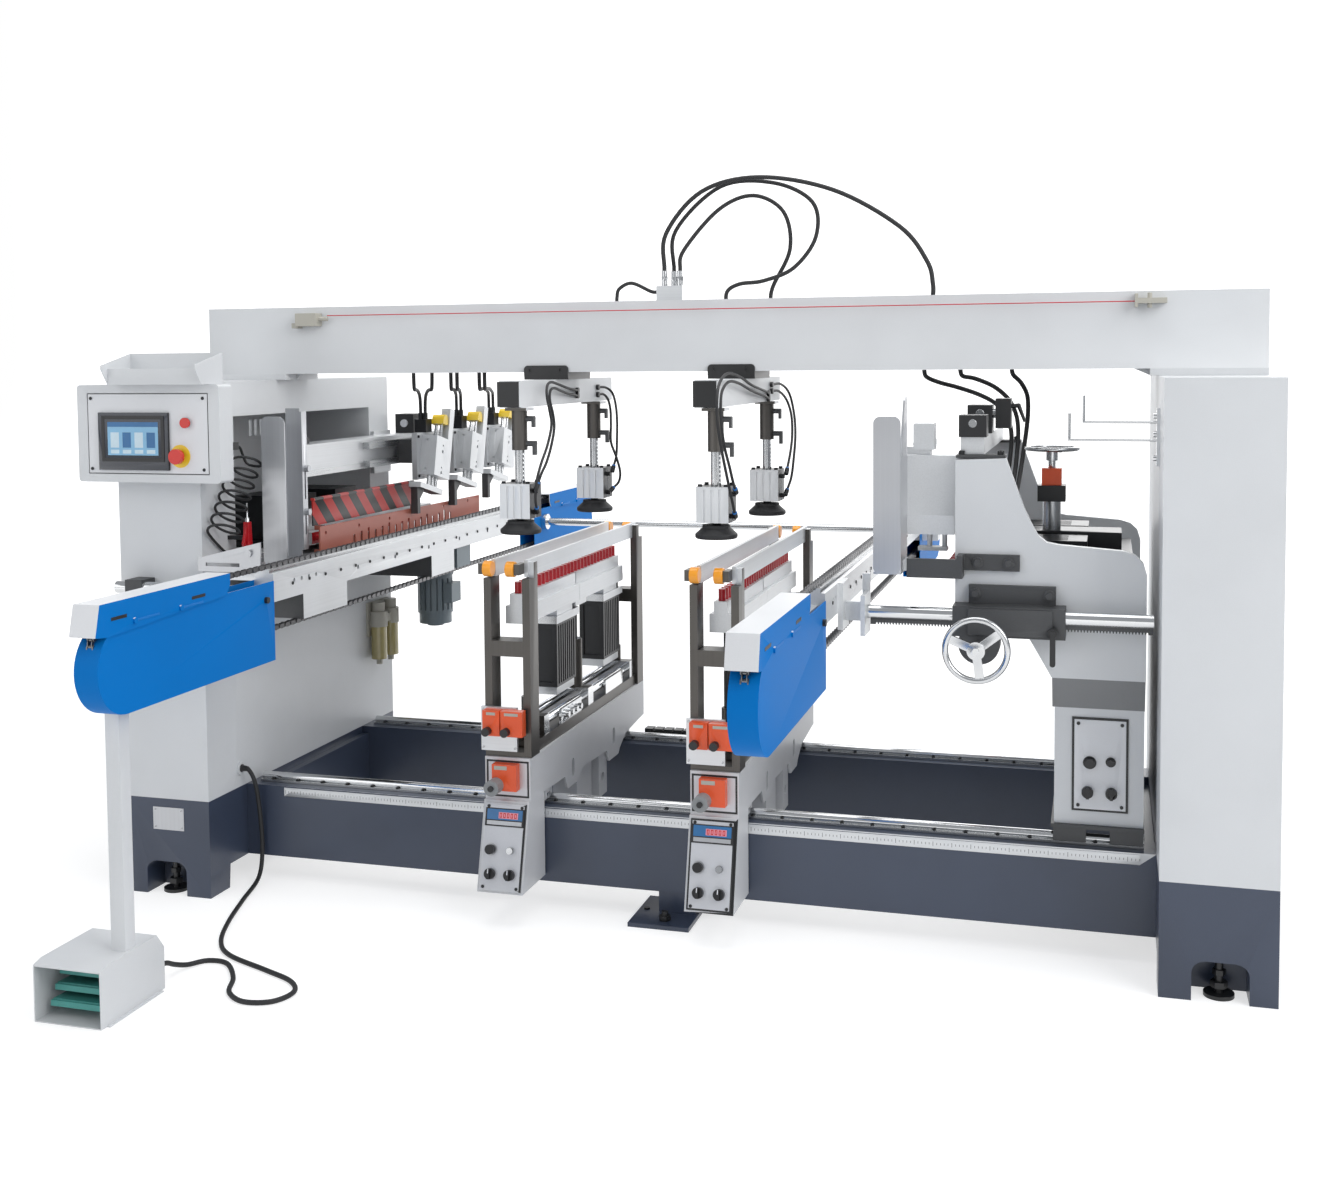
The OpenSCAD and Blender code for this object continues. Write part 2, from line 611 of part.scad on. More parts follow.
module clamp_rail() color("#cfd2d4") {
    x = [290, 365];
    y = clamp_bar_y;
    difference() {
        slab(x, y, [1214, 1316]);
        slab([x[1] - 4, x[1] + 1], [y[0] - 1, y[1] + 1], [1234, 1308]);
        slab([302, 346], [y[0] - 1, y[1] + 1], [1228, 1302]);
    }
    for (z = [[1217, 1240], [1280, 1303]]) slab([x[1] - 4 - eps, 386], [850, 1990], z);
    for (u = clamp_y) press_unit(u);
    slab([300, 330], [470, 540], [1316 - eps, 1334]);
    slab([x[0], x[1] - 2], [1245, 1330], [1316 - eps, 1386]);
    rod_y(327, [1238, 1246], 1352, 28);
    slab([pillar_w + gap, x[0] + 1], [1070, 1200], [1180, 1330]);
    slab([pillar_w + gap, x[0] + 1], [y[0], 1201], [1214, 1316]);
}

module clamp_fingers() color("#3a3b3e") {
    mid = (clamp_x[0] + clamp_x[1]) / 2;
    for (u = clamp_y) {
        clamp_frame(u) {
            for (a = [-42, -12, 18]) rod_z(mid, a, [-115, -34], 14);
            slab([469, 514], [-155, 32], [-130, -111]);
        }
        prism_x([475, 500]) translate([u, 0]) polygon([[-176, 1048], [-154, 1048], [-154, 1100],
            [-116, 1128], [-116, 1136], [-176, 1148]]);
    }
}

module left_drill() color("#2b2c2f") {
    y = [390, 1320];
    for (h = [0, 1]) {
        a = y[0] + h * 466;
        slab([330, 392], [a, a + 463], [1000, 1052]);
        slab([392 - eps, 412], [a + 8, a + 454], [1008, 1044]);
        slab([300, 331], [a + 20, a + 440], [1000, 1100]);
    }
    slab([300, 328], [820, 890], [1002, 1090]);
    for (k = [0:spindle_count - 1]) rod_x([412 - eps, 440], 420 + spindle_pitch * k, 1026, chuck_d);
    for (c = [480, 760]) {
        difference() {
            slab([90, 301], [c, c + 150], [1004, 1150]);
            for (k = [0:6]) slab([100, 250], [c + 16 + 18 * k, c + 24 + 18 * k], [1142, 1151]);
        }
        slab([72, 91], [c + 8, c + 142], [1010, 1144]);
    }
    slab([60, 301], [440, 940], [985 + gap, 1005]);
}

module air_filter() color("#c9c6ba") {
    x = [pillar_w + gap, 330];
    slab([x[0], x[0] + 8], [1010, 1170], [600, 720]);
    for (y = [1040, 1130]) {
        rod_z(312, y, [520, 640], 56);
        rod_z(312, y, [636, 690], 62);
        rod_z(312, y, [689, 722], 44);
        rod_z(312, y, [500, 521], 22);
        slab([x[0] + 7, 300], [y - 20, y + 20], [630, 680]);
    }
    slab([296, 328], [1062, 1108], [648, 676]);
}

module air_hose() color("#1d1e20") {
    steps = 12;
    axis = coil_end - coil_top;
    along = unit(axis);
    across = unit(cross(along, [1, 0, 0]));
    path = [for (i = [1:coil_turns * steps]) let (a = i * 360 / steps - 90)
        coil_top + axis * i / (coil_turns * steps) + coil_r * (cos(a) * [1, 0, 0] + sin(a) * across)];
    echo("air_hose least gap between turns", norm(axis) / coil_turns - coil_tube);
    tube(concat(coil_lead, path, coil_tail), coil_tube, 8);
}

module air_gun() color("#d9301f") {
    c = [341, 142];
    rod_x([315, c[0]], c[1], 1000, 11);
    prism_x([c[0] - 9, c[0] + 9]) polygon([[c[1] - 10, 985], [c[1] + 10, 985], [c[1] + 12, 1040],
        [c[1] + 8, 1104], [c[1] - 8, 1104], [c[1] - 12, 1040]]);
    prism_x([c[0] - 4, c[0] + 4]) polygon([[c[1] - 11, 1092], [c[1] - 28, 1040], [c[1] - 24, 1030],
        [c[1] - 9, 1060]]);
    rod_z(c[0], c[1], [1104 - eps, 1116], 13);
    rod_z(c[0], c[1], [1115, 1160], 5);
    slab([pillar_w + gap, c[0] - 8], [c[1] - 8, c[1] + 8], [1050, 1062]);
    slab([pillar_w + gap, 300], [130, 172], [1318, 1340]);
    rod_y(288, [118, 131], 1329, 16);
}

// Foot pedal

module pedal_box() color("#c5c9cc") {
    x = [338, 526];
    y = [-850, -595];
    z = 148;
    t = 3;
    difference() {
        prism_x(x) polygon([[y[0], 0], [y[1], 0], [y[1], z - 40], [y[1] - 30, z], [y[0] + 30, z],
            [y[0], z - 8]]);
        slab([x[0] + t, x[1] - t], [y[0] - 1, y[1] - t], [t, z - 44]);
        slab([x[0] + t, x[1] - t], [y[0] + 34, y[1] - 34], [z - 45, z - t]);
        slab([x[0] + t, x[1] - t], [y[0] - 1, y[0] + 35], [z - 45, z - 12]);
        rod_y(498, [y[1] - 4, y[1] + 1], 46, cord_d + 2);
    }
    slab([x[0] - 10, x[0]], [y[0] + 20, y[1] - 20], [0, 3]);
    slab([x[1], x[1] + 10], [y[0] + 20, y[1] - 20], [0, 3]);
    slab([478, 518], [-740, -700], [z - eps, 741.6]);
    difference() {
        rod_y(498, [y[1] - eps, y[1] + 16], 46, 26);
        rod_y(498, [y[1] - 1, y[1] + 17], 46, cord_d + 2);
    }
    for (k = [0:2]) for (a = [x[0] + t - eps, x[1] - t - 5 + eps])
        rod_x([a, a + 5], -640, 30 + 34 * k, 12);
}

module pedal(k) {
    z = 30 + 34 * k;
    y = [-820 + 18 * k, -640];
    rod_x([347, 517], -640, z, 9);
    translate([0, -640, z]) rotate([-4, 0, 0]) {
        slab([362, 502], [y[0] + 640, 0], [-3, 2]);
        slab([362, 502], [y[0] + 640, y[0] + 646], [-12, 2]);
        slab([364, 500], [y[0] + 646, y[0] + 700], [1.9, 5]);
    }
}

module pedal_top() color("#3f9e94") pedal(2);

module pedal_middle() color("#3f9e94") pedal(1);

module pedal_low() color("#3f9e94") pedal(0);

module pedal_cord() color("#1d1e20") tube(smooth(pedal_route, 3), cord_d, 8);

// Right drilling side

module cheek() {
    r = head_right;
    polygon([[r - 484, 932], [r - 484, 1307], [r - 354, 1312], [r - 309, 1187], [r - 290, 1145],
        [r - 272, 1112], [r - 250, 1094], [r - 220, 1088], [r - 60, 1076], [r - 29, 1066],
        [r - 9, 1046], [r, 1015], [r, 740], [r - 235, 740], [r - 294, 843], [r - 484, 843]]);
}

module right_head() color("#dfe1e3") {
    r = head_right;
    column = [r - 228, r - 2];
    for (y = [[200, 226], [990, 1016]]) prism_y(y) cheek();
    slab([r - 440, r - 2], [225, 991], [850, 880]);
    slab([r - 228, r - 2], [225, 991], [740, 850 + eps]);
    prism_x([r - 234, r - 1]) polygon([[200, 741], [240, 655], [976, 655], [1016, 741]]);
    slab(column, [240, 976], [345, 656]);
    slab([r - 236, r], [226, 1056], [336.5, 346]);
    for (y = [front_rail_y, rear_rail_y]) for (x = [r - 230, r - 86]) difference() {
        slab([x, x + 84], [y - 32, y + 32], [301, 337]);
        slab([x - 1, x + 85], [y - 14, y + 14], [300, 318]);
    }
    slab([r - 484, r - 354], [226 - eps, 240], [1296, 1312]);
    slab([r - 484, r - 354], [976, 990 + eps], [1296, 1312]);
    slab([r - 470, r - 360], [225, 991], [880 - eps, 930]);
    for (y = [[320, 360], [840, 880]]) slab([r - 450, r - 40], y, [880 - eps, 1010 - gap]);
}

module right_panel() color("#c9ccce") {
    r = head_right;
    x = [r - 183, r - 41];
    z = [383, 632];
    y = 240 - gap;
    slab(x, [y - 3, y], z);
    slab([x[0] + 6, x[1] - 6], [y - 5, y - 2.9], [z[0] + 6, z[1] - 6]);
    for (a = [x[0] + 16, x[1] - 16]) for (b = [z[0] + 16, z[1] - 16]) rod_y(a, [y - 8, y - 4], b, 9);
    for (p = [[45, 130, 26], [98, 134, 18]]) {
        rod_y(x[0] + p[0], [y - 20, y - 4], z[0] + p[1], p[2]);
        rod_y(x[0] + p[0], [y - 7, y - 4], z[0] + p[1], p[2] + 8);
    }
    for (a = [40, 100]) {
        rod_y(x[0] + a, [y - 18, y - 4], z[0] + 52, 30);
        slab([x[0] + a - 4, x[0] + a + 4], [y - 28, y - 17], [z[0] + 38, z[0] + 66]);
    }
}

module rack_clamp() color("#47494c") {
    r = head_right;
    y = 200 - gap;
    difference() {
        union() {
            slab([r - 484, r - 199], [y - 74, y], [852, 931]);
            slab([r - 447, r - 225], [y - 16, y], [930, 980]);
            rod_y(wheel_x, [y - 74, y - 20], wheel_z, 106);
            slab([r - 444, r - 232], [y - 80, y - 73], [858, 926]);
        }
        rod_x([r - 485, r - 198], rack_y, rack_z, rack_d + 0.8);
        slab([r - 485, r - 198], [rack_y - 7, rack_y + 7], [rack_line - 4, rack_z]);
        rod_y(wheel_x, [y - 68, y - 30], wheel_z, 2 * pinion_r + 8);
        rod_y(wheel_x, [y - 95, y - 60], wheel_z, 21);
        rod_y(r - 230, [y - 95, y - 60], 874, 12 + fit);
    }
    for (a = [r - 430, r - 242]) {
        rod_y(a, [y - 22, y - 15], 957, 30);
        translate([a, y - 21, 957]) rotate([90, 0, 0]) cylinder(d = 20, h = 10, $fn = 6);
    }
    slab([r - 461, r - 317], [y - 12, y], [1017, 1060]);
    slab([r - 475, r - 460], [y - 60, y], [1000, 1060]);
    slab([r - 590, r - 460], [y - 60, y - 46], [1000, 1050]);
    slab([r - 604, r - 589], [y - 60, y + 20], [1000, 1050]);
    for (a = [r - 425, r - 345]) {
        rod_y(a, [y - 18, y - 11], 1038, 30);
        translate([a, y - 17, 1038]) rotate([90, 0, 0]) cylinder(d = 20, h = 10, $fn = 6);
    }
}

module handwheel() color("#c6cace") {
    rim = wheel_d / 2;
    tooth = rack_module;
    translate([wheel_x, 40, wheel_z]) rotate([90, 0, 0]) {
        rotate_extrude() translate([rim - 8, 0]) circle(8);
        for (a = [277, 158, 38]) rotate([0, 0, a]) translate([14, -11, -5]) cube([rim - 24, 22, 9]);
        translate([0, 0, -12]) cylinder(d = 46, h = 24);
        translate([0, 0, -62]) cylinder(d = 32, h = 52);
        translate([0, 0, -124]) cylinder(d = 18, h = 70);
        translate([0, 0, 11]) cylinder(d = 18, h = 5, $fn = 6);
        translate([0, 0, -124]) linear_extrude(28) {
            circle(pinion_r - 1.2 * tooth);
            for (k = [0:pinion_teeth - 1]) rotate(90 + k * 360 / pinion_teeth)
                translate([pinion_r, 0]) polygon([[-1.3 * tooth - 1, -2.6], [0, -1.55], [tooth - 0.2, -0.8],
                [tooth - 0.2, 0.8], [0, 1.55], [-1.3 * tooth - 1, 2.6]]);
        }
    }
}

module clamp_lever() color("#232427") {
    x = head_right - 230;
    rod_y(x, [112, 132], 874, 12);
    rod_y(x, [98, 119], 874, 22);
    slab([x - 7, x + 7], [98, 112], [794, 876]);
    rod_y(x, [98, 112], 794, 14);
    rod_y(x, [94, 99], 874, 12);
}

module right_drill() color("#8e9296") {
    r = head_right;
    slab([r - 470, r - 30], [300, 900], [1010, 1030]);
    for (h = [0, 1]) {
        a = 250 + h * 362;
        slab([r - 470, r - 410], [a, a + 360], [1029, 1082]);
        slab([r - 478, r - 469], [a + 8, a + 350], [1008, 1044]);
    }
    for (k = [0:20]) rod_x([r - 506, r - 477], 280 + spindle_pitch * k, 1026, chuck_d);
    for (c = [330, 720]) {
        difference() {
            slab([r - 411, r - 150], [c, c + 150], [1029, 1084]);
            for (k = [0:6]) slab([r - 400, r - 200], [c + 16 + 18 * k, c + 24 + 18 * k], [1076, 1085]);
        }
    }
    rod_x([r - 480, r - 32], 270, 1046, 18);
    slab([r - 300, r - 60], [500, 640], [1029, 1090]);
    rod_z(r - 249, 560, [1089, 1172], 50);
    slab([r - 287, r - 211], [522, 598], [1171, 1216]);
    difference() {
        slab([r - 276, r - 222], [533, 587], [1215.9, 1264]);
        rod_z(r - 249, 560, [1250, 1265], 12 + fit);
    }
}

module feed_wheel() color("#c6cace") {
    c = [head_right - 249, 560, 1318];
    translate(c) {
        rotate_extrude() translate([70, 0]) circle(6);
        for (k = [0:2]) rotate([0, 0, 50 + 120 * k]) translate([10, -6, -8]) cube([56, 12, 7]);
        translate([0, 0, -34]) cylinder(d = 32, h = 34);
        translate([0, 0, -53.6]) cylinder(d = 20, h = 24);
        translate([0, 0, -66]) cylinder(d = 12, h = 20);
    }
}

module right_fence() color("#b9bdc2") {
    r = head_right;
    z = [1012, 1424];
    edge = r - 615;
    prism_y([98, 102]) translate([r - 686, z[0]]) rounded(71, z[1] - z[0], 18);
    prism_x([edge - 4, edge + 1]) polygon([[101, z[0]], [230, z[0]], [230, z[1] + 40], [206, z[1] + 54],
        [184, z[1] + 40], [101, z[1] - 120]]);
    slab([r - 686, edge], [101, 230], [z[0], z[0] + 6]);
    slab([edge, r - 604 - gap], [150, 214], [1016, 1044]);
    slab([r - 575, r - 490], [250, 330], [1155, 1310]);
    slab([r - 590, r - 486], [246, 334], [1309, 1316]);
    slab([edge, r - 485], [236, 250 + eps], [1110, 1316]);
    slab([edge - 4, edge + 1], [229, 250], [1110, 1316]);
    slab([edge, r - 490], [234, 340], [1104, 1156]);
    for (a = [r - 560, r - 520]) rod_z(a, 290, [1064, 1105], 14);
    slab([r - 590, r - 512], [270, 310], [1056, 1066]);
    slab([r - 600, r - 500], [330, 900], [1206, 1310]);
    for (y = [430, 620, 810]) {
        slab([r - 640, r - 599], [y - 50, y + 50], [1170, 1330]);
        rod_z(r - 620, y, [1104, 1171], 16);
        slab([r - 634, r - 606], [y - 20, y + 20], [1090, 1105]);
    }
    slab([r - 600, r - 545], [250, 300], [1330, 1400]);
    slab([r - 590, r - 555], [255, 295], [1309, 1331]);
}

module right_conveyor() color("#c3c6c9") {
    x = right_conv_x;
    difference() {
        union() {
            conveyor_beam(x);
            slab([x[0] - 26, x[1] + 60], [tie_y - 34, tie_y + 34], [tie_z - 36, 940]);
        }
        rod_x([x[0] - 30, x[1] + 70], tie_y, tie_z, 30.8);
    }
    slab([x[1] - 2, x[1] + 12], [100, 200], [860, 985]);
    slab([x[1] + 11, x[1] + 60], [140, 160], [880, 930]);
    slab([x[1] + 58, x[1] + 70], [100, 200], [846, 954]);
    slab([x[1] + 50, x[1] + 70], [190, 204], [900, 1000]);
}

module rack_bar() color("#c6cace") {
    x = [right_conv_x[1] + 70 + gap, head_right + 16];
    m = rack_module;
    first = -floor((wheel_x - x[0] - 20) / rack_pitch);
    last = floor((x[1] - wheel_x - 12) / rack_pitch);
    rod_x(x, rack_y, rack_z, rack_d);
    prism_y([rack_y - 6, rack_y + 6]) difference() {
        translate([x[0] + 8, rack_line - m]) square([x[1] - x[0] - 8, rack_z - rack_line]);
        for (k = [first:last]) translate([wheel_x + k * rack_pitch, rack_line])
            polygon([[-3.1, -m - 1], [3.1, -m - 1], [3.1, -m], [1.4, 1.25 * m], [-1.4, 1.25 * m], [-3.1, -m]]);
    }
}

module right_covers() color("#0a72c4") covers(right_conv_x, true);

module right_chain() color("#6d6f72") {
    chain_loop(right_conv_x);
    for (y = [-560:160:2400]) slab([right_conv_x[0] + 20, right_conv_x[1] - 20], [y, y + 26],
        [work_z - 6 - eps, work_z]);
}

module right_sprocket() color("#8b8f93") sprocket(right_conv_x, front_sprocket_y);

// Middle drilling heads

module side_plate() {
    difference() {
        polygon([[204, 336], [377, 333], [400, 290], [505, 290], [536, 321], [778, 312], [800, 272],
            [895, 272], [911, 288], [975, 322], [1187, 340], [1187, carriage_top], [204, carriage_top]]);
        for (y = [450, 848]) translate([y, 342]) {
            square([24, 34], center = true);
            for (s = [-1, 1]) translate([0, 17 * s]) circle(12);
        }
    }
}

module carriage(c) {
    w = body_half;
    difference() {
        union() {
            prism_x([c - w, c + w]) polygon([[18, 93], [200, 93], [200, 338], [81, 338]]);
            slab([c - w, c + w], [91, 204 + eps], [338 - eps, carriage_top]);
        }
        slab([c - w + 4, c + w - 4], [87, 93], [346, 451]);
    }
    for (s = [-w, w - 8]) prism_x([c + s, c + s + 8]) side_plate();
    slab([c - w + 8 - eps, c + w - 8 + eps], [204, 1187], [carriage_top - 12, carriage_top]);
    slab([c - w + 8 - eps, c + w - 8 + eps], [1179, 1187], [342, carriage_top]);
    for (y = [front_rail_y, rear_rail_y]) {
        difference() {
            slab([c - 58, c + 58], [y - 30, y + 30], [301, 345]);
            slab([c - 59, c + 59], [y - 14, y + 14], [300, 318]);
        }
        slab([c - w + 8 - eps, c + w - 8 + eps], [y - 30, y + 30], [344, carriage_top - 10]);
    }
    slab([c - 40, c + 40], [560, 700], [130, carriage_top - 10]);
    difference() {
        slab([c + 20, c + 58], [720, 800], [170, carriage_top - 10]);
        rod_x([c + 10, c + 60], 760, 230, 30);
    }
    panel(c);
}

module panel(c) {
    tilt = 14.4;
    translate([c, 18, 93]) rotate([-tilt, 0, 0]) {
        translate([-62, -4, 6]) cube([124, 4.1, 240]);
        translate([-58, -6, 182]) cube([116, 3, 50]);
        for (a = [-50, 50]) for (b = [16, 236]) translate([a, -3.9, b]) rotate([90, 0, 0]) cylinder(d = 9, h = 3);
        for (a = [-30, 28]) translate([a, -3.9, 52]) rotate([90, 0, 0]) {
            cylinder(d = 30, h = 14);
            translate([-4, -14, 13]) cube([8, 28, 10]);
        }
        translate([-34, -3.9, 118]) rotate([90, 0, 0]) cylinder(d = 27, h = 16);
        translate([26, -3.9, 118]) rotate([90, 0, 0]) cylinder(d = 20, h = 14);
    }
    slab([c - 37, c + 36], [64, 91 + eps], [370, 445]);
    rod_y(c - 24, [24, 65], 386, 44);
    rod_y(c - 24, [18, 25], 386, 16);
}

module carriage_a() color("#dfe1e3") carriage(head_a_x);

module carriage_b() color("#dfe1e3") carriage(head_b_x);

module frame(c) {
    bar_z = [968, 1016];
    low_z = carriage_top + gap;
    for (s = [-1, 1]) {
        post = s < 0 ? [c - 69, c - 47] : [c + 47, c + 69];
        tab = s < 0 ? [c - 69, c - 54] : [c + 54, c + 69];
        bar = s < 0 ? [c - 55, c - 43] : [c + 43, c + 55];
        for (y = [[100, 165], [1116, 1181]]) slab(post, y, [low_z, bar_z[0] - 2]);
        for (y = [[136, 165], [1116, 1145]]) slab(tab, y, [bar_z[0] - 3, bar_z[1] - 6]);
        slab(bar, [128, 1153], bar_z);
        for (y = post_pair) difference() {
            block = s < 0 ? [c - 80, c - 66.5] : [c + 27.5, c + 44];
            slab(block, y[0], [978, 1008]);
            rod_x([block[0] - 1, s < 0 ? block[1] + 1 : block[0] + 14], y[1], 993, 10 + fit);
        }
    }
    for (y = [[100, 165], [1116, 1181]]) {
        slab([c - 48, c + 48], y, [745, 789]);
        slab([c - 48, c + 48], y, [low_z, low_z + 14]);
    }
    slab([c - 60, c + 60], [164, 1117], [low_z, 492]);
    for (x = [c - 34, c + 34]) rod_y(x, [162, 1118], 520, 26);
    for (y = [254, 1080]) difference() {
        union() {
            slab([c - 58, c + 58], [y - 20, y + 20], [491, 548]);
            rod_z(c, y, [547, 600], 38);
        }
        rod_z(c, y, [493, 601], 24 + 4 * fit);
    }
    difference() {
        union() {
            slab([c - 58, c + 58], [626, 674], [491, 548]);
            rod_z(c, 650, [547, 700], 58);
        }
        rod_z(c, 650, [560, 701], 28 + 4 * fit);
    }
    slab([c - 78, c + 30], [90, 100 + eps], [477, 602]);
    for (x = [[c - 62, c - 11], [c - 8, c + 57]]) slab(x, [60, 90 + eps], [526, 598]);
    for (x = [c - 46, c + 10]) rod_y(x, [40, 61], 540, 24);
    for (k = [0:3]) rod_x([c + 57, c + 74], 406 + 38 * k, 516, 18);
    for (y = [[380, 560], [800, 980]]) slab([c + 50, c + 58], y, [491, 536]);
}

module frame_a() color("#47494c") frame(head_a_x);

module frame_b() color("#47494c") frame(head_b_x);

module drill(c) {
    split = row_mid + 8;
    last = row_y + row_len;
    slab([c - 32, c + 32], [172, split - 1], [826, 877]);
    slab([c - 32, c + 32], [split + 1, last + 18], [826, 877]);
    slab([c - 19, c + 19], [172, split - 4], [877 - eps, chuck_z]);
    slab([c - 19, c + 19], [split + 4, last + 12], [877 - eps, chuck_z]);
    slab([c - 32, c + 32], [split - 40, split + 60], [811, 826 + eps]);
    slab([c - 24, c + 24], [last + 17, last + 46], [826, 846]);
    for (k = [0:spindle_count - 1]) rod_z(c, row_y + spindle_pitch * k, [chuck_z - eps, 945], chuck_d);
    for (y = [254, 1080]) rod_z(c, y, [500, 827], 24);
    rod_z(c, 650, [600, 812], 28);
    for (y = [[417, 585], [862, 1030]]) {
        difference() {
            slab([c - 52, c + 32], y, [592, 785]);
            for (k = [0:7]) for (x = [c - 53, c + 26])
                slab([x, x + 7], [y[0] + 12 + 19 * k, y[0] + 22 + 19 * k], [600, 778]);
            slab([c - 38, c + 18], [y[0] - 1, y[0] + 6], [606, 770]);
        }
        slab([c - 54, c + 34], [y[0] - 4, y[1] + 30], [785 - eps, 808]);
        slab([c - 30, c + 26], [y[0] + 20, y[1] - 10], [807, 826 + eps]);
        slab([c - 48, c + 28], [y[0] + 6, y[1] - 6], [568, 592 + eps]);
        rod_z(c - 10, (y[0] + y[1]) / 2, [560, 569], 50);
    }
}

module drill_a() color("#2b2c2f") drill(head_a_x);

module drill_b() color("#2b2c2f") drill(head_b_x);

module rollers(c, y) {
    rod_x([c - 66, c - 41], y, 993, 44);
    rod_x([c - 80, c - 60], y, 993, 10);
    rod_x([c + 2, c + 27], y, 993, 44);
    rod_x([c + 20, c + 40], y, 993, 10);
}

module front_rollers_a() color("#f59a1c") rollers(head_a_x, post_pair[0][1]);

module rear_rollers_a() color("#f59a1c") rollers(head_a_x, post_pair[1][1]);

module front_rollers_b() color("#f59a1c") rollers(head_b_x, post_pair[0][1]);

module rear_rollers_b() color("#f59a1c") rollers(head_b_x, post_pair[1][1]);

// Press arms under the gantry

module press_column(x, y) {
    slab([x - 32, x + 32], [y - 30, y + 30], [arm_z[0] - 8, arm_z[0] + eps]);
    rod_z(x, y, [1326, arm_z[0] - 7], 44);
    difference() {
        rod_z(x, y, [1232, 1327], 28);
        for (k = [0:6]) slab([x + 10, x + 16], [y - 8, y + 8], [1240 + 12 * k, 1245 + 12 * k]);
    }
    slab([x - 45, x + 45], [y - 45, y + 45], [1226 - eps, 1233]);
    for (a = [-36, 36]) for (b = [-36, 36]) rod_z(x + a, y + b, [1232.9, 1239], 9);
    difference() {
        slab([x - 45, x + 45], [y - 45, y + 45], [1135, 1226]);
        rod_z(x, y, [1134, 1222], 31);
        for (s = [-1, 1]) {
            slab([x - 4, x + 4], [y + s * 45 - 3, y + s * 45 + 3], [1134, 1227]);
            slab([x + s * 45 - 3, x + s * 45 + 3], [y - 4, y + 4], [1134, 1227]);
            slab([x - 24, x - 18], [y + s * 45 - 3, y + s * 45 + 3], [1134, 1227]);
            slab([x + 18, x + 24], [y + s * 45 - 3, y + s * 45 + 3], [1134, 1227]);
        }
    }
    rod_x([x + 20, x + 46], y, 1414, 16);
    rod_x([x + 20, x + 50], y, 1344, 16);
    slab([x + 40, x + 50], [y - 7, y + 7], [1312, 1350]);
    slab([x + 38, x + 46], [y - 7, y + 7], [1390, 1420]);
    rod_x([x + 44, x + 58], y - 10, 1212, 14);
    rod_x([x + 44, x + 58], y - 10, 1152, 14);
}

module press_arm(c) {
    slab([c - 33, c + 33], [arm_y[0] + 16, arm_y[1]], arm_z);
    slab([c - 33, c + 33], [arm_y[0], arm_y[0] + 16 + eps], [arm_z[0] + 2, arm_z[1] - 2]);
    slab([c - 70, c + 70], [gantry_y[0] - 6, gantry_y[1] + 6], [arm_z[1] - eps, gantry_z - gap - 0.3]);
    for (y = [[gantry_y[0] - 8, gantry_y[0] - 1], [gantry_y[1] + 1, gantry_y[1] + 8]]) difference() {
        prism_y(y) translate([c - 70, arm_z[1] - eps]) rounded(140, 42, 12);
        for (a = [c - 48, c + 48]) rod_y(a, [y[0] - 1, y[0] + 3], 1548, 12);
    }
    for (y = press_y) press_column(c + press_dx, y);
}

module arm_a() color("#cfd2d4") press_arm(arm_a_x);

module arm_b() color("#cfd2d4") press_arm(arm_b_x);

module feet(c) {
    for (y = press_y) translate([c + press_dx, y, 0]) {
        rod_z(0, 0, [1125, 1201], 24);
        rod_z(0, 0, [1200, 1212], 30);
        rotate_extrude($fn = 64) polygon([[0, 1090], [foot_d / 2 - 3, 1090], [foot_d / 2, 1094],
            [foot_d / 2, 1102], [38, 1120], [38, 1127], [0, 1127]]);
    }
}

module feet_a() color("#232427") feet(arm_a_x);

module feet_b() color("#232427") feet(arm_b_x);

place() {
    base_frame();
    left_pillar();
    right_pillar();
    gantry_beam();
    guide_rails();
    levelling_feet();
    control_cabinet();
    control_plate();
    start_button();
    stop_button();
    tool_shelf();
    cord_switch();
    hose_block();
    gantry_hoses();
    guide_bars();
    left_conveyor();
    left_covers();
    left_chain();
    left_sprocket();
    drive_motor();
    left_fence();
    left_guard();
    clamp_rail();
    clamp_fingers();
    left_drill();
    air_filter();
    air_hose();
    air_gun();
    pedal_box();
    pedal_top();
    pedal_middle();
    pedal_low();
    pedal_cord();
    right_head();
    right_panel();
    rack_clamp();
    handwheel();
    clamp_lever();
    right_drill();
    feed_wheel();
    right_fence();
    right_conveyor();
    rack_bar();
    right_covers();
    right_chain();
    right_sprocket();
    carriage_a();
    frame_a();
    drill_a();
    front_rollers_a();
    rear_rollers_a();
    carriage_b();
    frame_b();
    drill_b();
    front_rollers_b();
    rear_rollers_b();
    arm_a();
    feet_a();
    arm_b();
    feet_b();
}
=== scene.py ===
"""Looks of the line boring machine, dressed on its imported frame."""

import json
import logging
import math
from dataclasses import dataclass, field
from enum import Enum
from typing import Callable, Iterable, Sequence

import bmesh
import bpy
from mathutils import Matrix, Vector

